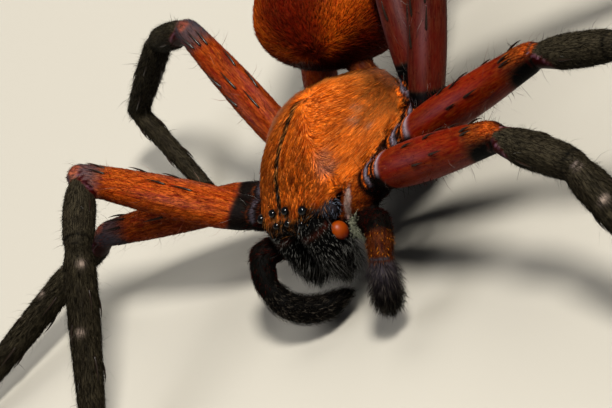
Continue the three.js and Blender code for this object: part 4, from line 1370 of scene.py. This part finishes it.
def boss_material():
    """Smooth orange-red knob on the outer face of each jaw."""
    material, t, shader = new_material("boss_enamel")
    coords = t.put("ShaderNodeTexCoord").outputs["Object"]
    cloud = t.noise(coords, 1500.0, 3.0)
    height = t.put("ShaderNodeSeparateXYZ", {0: attribute(t, "place")}).outputs[2]
    # Painted light and shade: orange on top fading to dark red-brown below, as if lit from above and shaded
    # underneath
    upper = t.between(height, -1.65, -1.05)
    colour = t.mix(upper, tone("340400"), tone("6a2800"))
    t.feed(shader.inputs["Base Color"], t.mix(t.times(cloud, 0.3), colour, tone("501200")))
    shader.inputs["Roughness"].default_value = 0.4
    shader.inputs["Specular IOR Level"].default_value = 0.12
    return material


# Small separate pieces
EYES = (
    {"name": "eye_median_back", "x": 0.54, "y": -4.0, "radius": 0.2},
    {"name": "eye_lateral_back", "x": 1.78, "y": -4.0, "radius": 0.21},
    {"name": "eye_median_front", "x": 0.48, "y": -4.33, "radius": 0.18, "z": 0.36},
    {"name": "eye_lateral_front", "x": 1.35, "y": -4.31, "radius": 0.21, "z": 0.14},
)


def carapace_surface(x, y):
    c = min(abs(x) / margin_width(y), 0.995) ** (1 / SECTION_FULLNESS)
    return MARGIN_HEIGHT + math.sqrt(1 - c * c) ** 0.9 * (dome_top(y) - MARGIN_HEIGHT)


def smooth_faces(obj):
    for polygon in obj.data.polygons:
        polygon.use_smooth = True


def build_eyes(material):
    for eye in EYES:
        for label, side in SIDES:
            z = eye.get("z", carapace_surface(eye["x"], eye["y"]) - 0.03)
            bm = bmesh.new()
            place = Matrix.Translation(on_body((side * eye["x"], eye["y"], z)))
            bmesh.ops.create_uvsphere(bm, u_segments=32, v_segments=20, radius=eye["radius"], matrix=place)
            name = f"{eye['name']}_{label}"
            piece = object_from(bm, name + "_lens")
            finish_piece(piece, material, "eye", name)


def finish_piece(piece, material, slot, *nodes):
    to_metres(piece)
    smooth_faces(piece)
    piece.data.materials.append(material)
    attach(piece, "root")
    if nodes:
        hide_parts(*nodes)
    return piece


def build_bosses(material):
    for label, side in SIDES:
        bm = bmesh.new()
        build_ball(bm, jaw_boss(side), BOSS_RADIUS, BOSS_STRETCH)
        boss = object_from(bm, f"jaw_boss_{label}")
        write_attribute(boss.data, "place", "FLOAT_VECTOR", body_coords(coords_of(boss.data)))
        finish_piece(boss, material, "chelicera")


# A fang curls inward: its length, the turn it makes, and its radius at the root and the tip
FANG_LENGTH = 1.2
FANG_TURN = math.radians(75)
FANG_ROOT = 0.3
FANG_TIP = 0.03


def build_fangs(material):
    for label, side in SIDES:
        start, end = jaw_ends(side)
        along = (end - start).normalized()
        root = end + along * (GAP - 0.25)
        inward = (BODY_TURN @ Vector((-side, 0.5, 0))).normalized()
        reach = FANG_LENGTH / FANG_TURN
        rings = []
        for t in np.linspace(0, 1, 19):
            turn = t * FANG_TURN
            forward = along * (math.sin(turn) * reach * 0.5 + 0.2)
            centre = root + forward + inward * ((1 - math.cos(turn)) * reach)
            r = FANG_ROOT + (FANG_TIP - FANG_ROOT) * t ** 0.9
            rings.append(ring_round(centre, (along + inward * turn).normalized(), r, r, 16))
        bm = bmesh.new()
        loft(bm, rings)
        finish_piece(object_from(bm, f"fang_{label}_fine"), material, "fang", f"fang_{label}")


# Place along the length, angle round it (90 is on top, 180 in front on the left side), and length
SPINES = {
    "femur": ((0.33, 90, 1.1), (0.5, 86, 1.2), (0.84, 92, 1.1), (0.44, 35, 1.2), (0.62, 38, 1.1),
              (0.85, 58, 1.1)),
    "femur_front": ((0.42, 145, 1.1), (0.58, 138, 1.2), (0.86, 117, 1.1)),
    "patella": ((0.45, 12, 0.9), (0.45, 168, 0.9)),
    "tibia": ((0.22, 20, 1.1), (0.6, 15, 1.2), (0.26, 162, 1.1), (0.64, 168, 1.2), (0.45, 88, 1.0),
              (0.3, 300, 1.1), (0.66, 305, 1.1), (0.3, 240, 1.1), (0.66, 235, 1.1)),
    "metatarsus": ((0.14, 20, 1.1), (0.5, 15, 1.1), (0.18, 160, 1.1), (0.54, 165, 1.1), (0.3, 270, 1.0)),
}


# Radius of a spine at shares of its length
SPINE_RADII = ((0, 0.055), (0.12, 0.06), (0.4, 0.05), (0.7, 0.032), (0.9, 0.015), (1, 0.004))


def spine_rows(part):
    """Spines of one leg length, mirrored on the right legs. The raised first right leg has a plain front."""
    rows = list(SPINES.get(part.get("length"), ()))
    leg = part.get("leg", {})
    if part.get("length") == "femur" and (leg["side"], leg["pair"]) != ("right", 1):
        rows += SPINES["femur_front"]
    if leg.get("side") == "right":
        rows = [(place, 180 - around, length) for place, around, length in rows]
    return rows


def build_spines(material):
    bm = bmesh.new()
    for part in parts:
        rows = spine_rows(part)
        start, end = part["line"][0], part["line"][-1]
        along = (end - start).normalized()
        side, up = cross_axes(along)
        for place, around, length in rows:
            a = math.radians(around + rng.normal(0, 5))
            t = place + rng.normal(0, 0.015)
            out = side * math.cos(a) + up * math.sin(a)
            size = length * (1 + rng.normal(0, 0.08))
            root = start + (end - start) * t + out * (part["radius"](t) - 0.06)
            rings = []
            for s, thick in SPINE_RADII:
                lift = math.radians(20 - 14 * s)
                centre = root + along * (size * s * math.cos(lift)) + out * (size * s * math.sin(lift))
                rings.append(ring_round(centre, along, thick, thick, 6))
            loft(bm, rings)
    finish_piece(object_from(bm, "spines"), material, "distal_leg")


def build_claws(material):
    bm = bmesh.new()
    for leg in LEGS:
        joints = leg_joints(leg)
        along = (joints["toe"] - joints["heel"]).normalized()
        side, up = cross_axes(along)
        for s in (-1, 1):
            rings = []
            for t in np.linspace(0, 1, 7):
                centre = (joints["toe"] + side * (0.1 * s + 0.05 * s * t) + along * (0.1 + 0.36 * t)
                          + up * (0.16 - 0.26 * t * t))
                r = 0.06 * (1 - t) + 0.006
                rings.append(ring_round(centre, (along - up * t).normalized(), r, r, 6))
            loft(bm, rings)
    finish_piece(object_from(bm, "claws"), material, "distal_leg")


# Stage: camera at the photo's angle, pale floor, soft light
PHOTO_SIZE = (612, 408)
FOCAL_PIXELS = 3108
CAMERA_RIGHT = Vector((0.651, 0.443, -0.617))
CAMERA_UP = Vector((-0.001, 0.813, 0.582))
CAMERA_BACK = Vector((0.759, -0.378, 0.53))
CAMERA_DISTANCE = 141.20
CAMERA_SHIFT = (-1.413, -2.096)


def camera_place():
    shift = CAMERA_RIGHT * CAMERA_SHIFT[0] + CAMERA_UP * CAMERA_SHIFT[1]
    return on_ground(shift + CAMERA_BACK * CAMERA_DISTANCE)


def build_camera():
    data = bpy.data.cameras.new("camera")
    data.lens = FOCAL_PIXELS * 36 / PHOTO_SIZE[0]
    data.sensor_width = 36
    data.clip_start = 0.005
    data.clip_end = 20
    camera = bpy.data.objects.new("camera", data)
    bpy.context.scene.collection.objects.link(camera)
    back = CAMERA_BACK.normalized()
    right = CAMERA_UP.cross(back).normalized()
    up = back.cross(right)
    turn = Matrix((right, up, back)).transposed().to_4x4()
    camera.matrix_world = Matrix.Translation(camera_place() * MM) @ turn
    bpy.context.scene.camera = camera


def aim_light(name, way, distance, power, size, colour, mirrored=True):
    """A round light; one that is not mirrored leaves no white patch on eyes and spines."""
    target = STAND * MM
    place = target + way * distance
    data = bpy.data.lights.new(name, "AREA")
    data.energy = power
    data.color = colour
    data.shape = "DISK"
    data.size = size
    light = bpy.data.objects.new(name, data)
    bpy.context.scene.collection.objects.link(light)
    light.visible_glossy = mirrored
    turn = (place - target).to_track_quat("Z", "Y").to_matrix().to_4x4()
    light.matrix_world = Matrix.Translation(place) @ turn


def build_light():
    towards = (CAMERA_BACK * 0.86 + CAMERA_UP * 0.5 - CAMERA_RIGHT * 0.06).normalized()
    aim_light("key", towards, 0.6, 9.4, 0.12, (1.0, 0.97, 0.92))
    side = (CAMERA_BACK * 0.3 - CAMERA_RIGHT * 0.9 + CAMERA_UP * 0.2).normalized()
    side.z = abs(side.z)
    aim_light("fill", side, 0.4, 1.1, 0.3, (0.97, 0.97, 1.0), mirrored=False)
    above = Vector((-0.25, 0.55, 0.8)).normalized()
    aim_light("top", above, 0.4, 1.5, 0.3, (1.0, 0.98, 0.95), mirrored=False)
    world = bpy.data.worlds.new("studio")
    bpy.context.scene.world = world
    world.use_nodes = True
    background = world.node_tree.nodes["Background"]
    background.inputs[0].default_value = (0.9, 0.93, 1.0, 1)
    background.inputs[1].default_value = 0.16
    bpy.context.scene.view_settings.view_transform = "Standard"


def build_floor():
    bm = bmesh.new()
    bmesh.ops.create_grid(bm, x_segments=1, y_segments=1, size=600)
    floor = object_from(bm, "floor")
    to_metres(floor)
    floor.data.materials.append(clouded_material("pale_floor", "827e74", "8a867c", 6.0, 2.0, 0.9))


# Putting it together
def flesh_nodes():
    kept = ("eye_", "fang_")
    return [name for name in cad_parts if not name.startswith(kept)]


# Grey-green tuft beside the jaw's knob
LOBE_CENTRE = (2.3, -3.1, -1.75)
LOBE_RADIUS = 0.42


def coat_masks(skin):
    """How densely each coat grows at every vertex, as shares."""
    orange, red, black = (skin["marks"][:, k] for k in range(3))
    body = body_coords(skin["co"])
    bare = smoothstep(orange, 0.08, 0.18)
    left_palp = [part["index"] for part in parts if part["name"] == "palp_left_patella"]
    ahead = 1 - smoothstep(body[:, 1], *LINE_END)
    parting = (1 - smoothstep(np.abs(body[:, 0]), *PARTING_EDGE)) * ahead
    rear = smoothstep(body[:, 1], 2.4, 3.4)
    tufts = [np.exp(-(np.linalg.norm(body - np.array(LOBE_CENTRE) * (side, 1, 1), axis=1) / LOBE_RADIUS) ** 2)
             for side in (-1, 1)]
    return {
        "every": np.ones(len(black)), "face": black, "furry": (1 - 0.6 * black) * (1 - red),
        "silk": (1 - 0.9 * black) * (1 - 0.85 * parting) * (1 - 0.4 * rear),
        "thigh": bare * (0.4 + 0.6 * orange) * (1 - 0.6 * black), "bald": 1 - 0.8 * bare,
        "gold": np.isin(skin["owner"], left_palp) * smoothstep(skin["share"], 0.2, 0.4),
        "lobe": sum(tufts),
    }


def grow_all_coats(skin, streaks, marks):
    masks = coat_masks(skin)
    hair = {name: coat_material(name, streaks, marks, **finish) for name, finish in HAIR_FINISHES.items()}
    for name, zones, mask, finish, slot, *sizes in COATS:
        grow_coat(name, zones, masks[mask], hair[finish], slot, *sizes)
    print("coat triangles", coat_ground["triangles"], "skin triangles", len(coat_ground["tris"]))


def main():
    build_camera()
    build_light()
    build_floor()
    skin = remesh_flesh(build_flesh())
    data = read_skin(skin.data)
    data["marks"] = markings(data)
    write_attribute(skin.data, "place", "FLOAT_VECTOR", body_coords(data["co"]))
    write_attribute(skin.data, "flow", "FLOAT_VECTOR", data["flow"])
    write_attribute(skin.data, "marks", "FLOAT_COLOR", data["marks"])
    data["long"] = hair_lengths(data)
    coat_ground.update({"skin": data, "tris": triangles_of(skin.data)})
    streaks, marks = streak_group(), markings_group()
    finish_piece(skin, skin_material(streaks, marks), "carapace", *flesh_nodes())
    grow_all_coats(data, streaks, marks)
    horn = horn_material("spine_horn", "0a0705", "1d120b", 0.3)
    build_spines(horn)
    build_claws(horn)
    build_fangs(horn_material("fang_horn", "160403", "3a0d06", 0.18))
    build_bosses(boss_material())
    build_eyes(eye_material())


main()
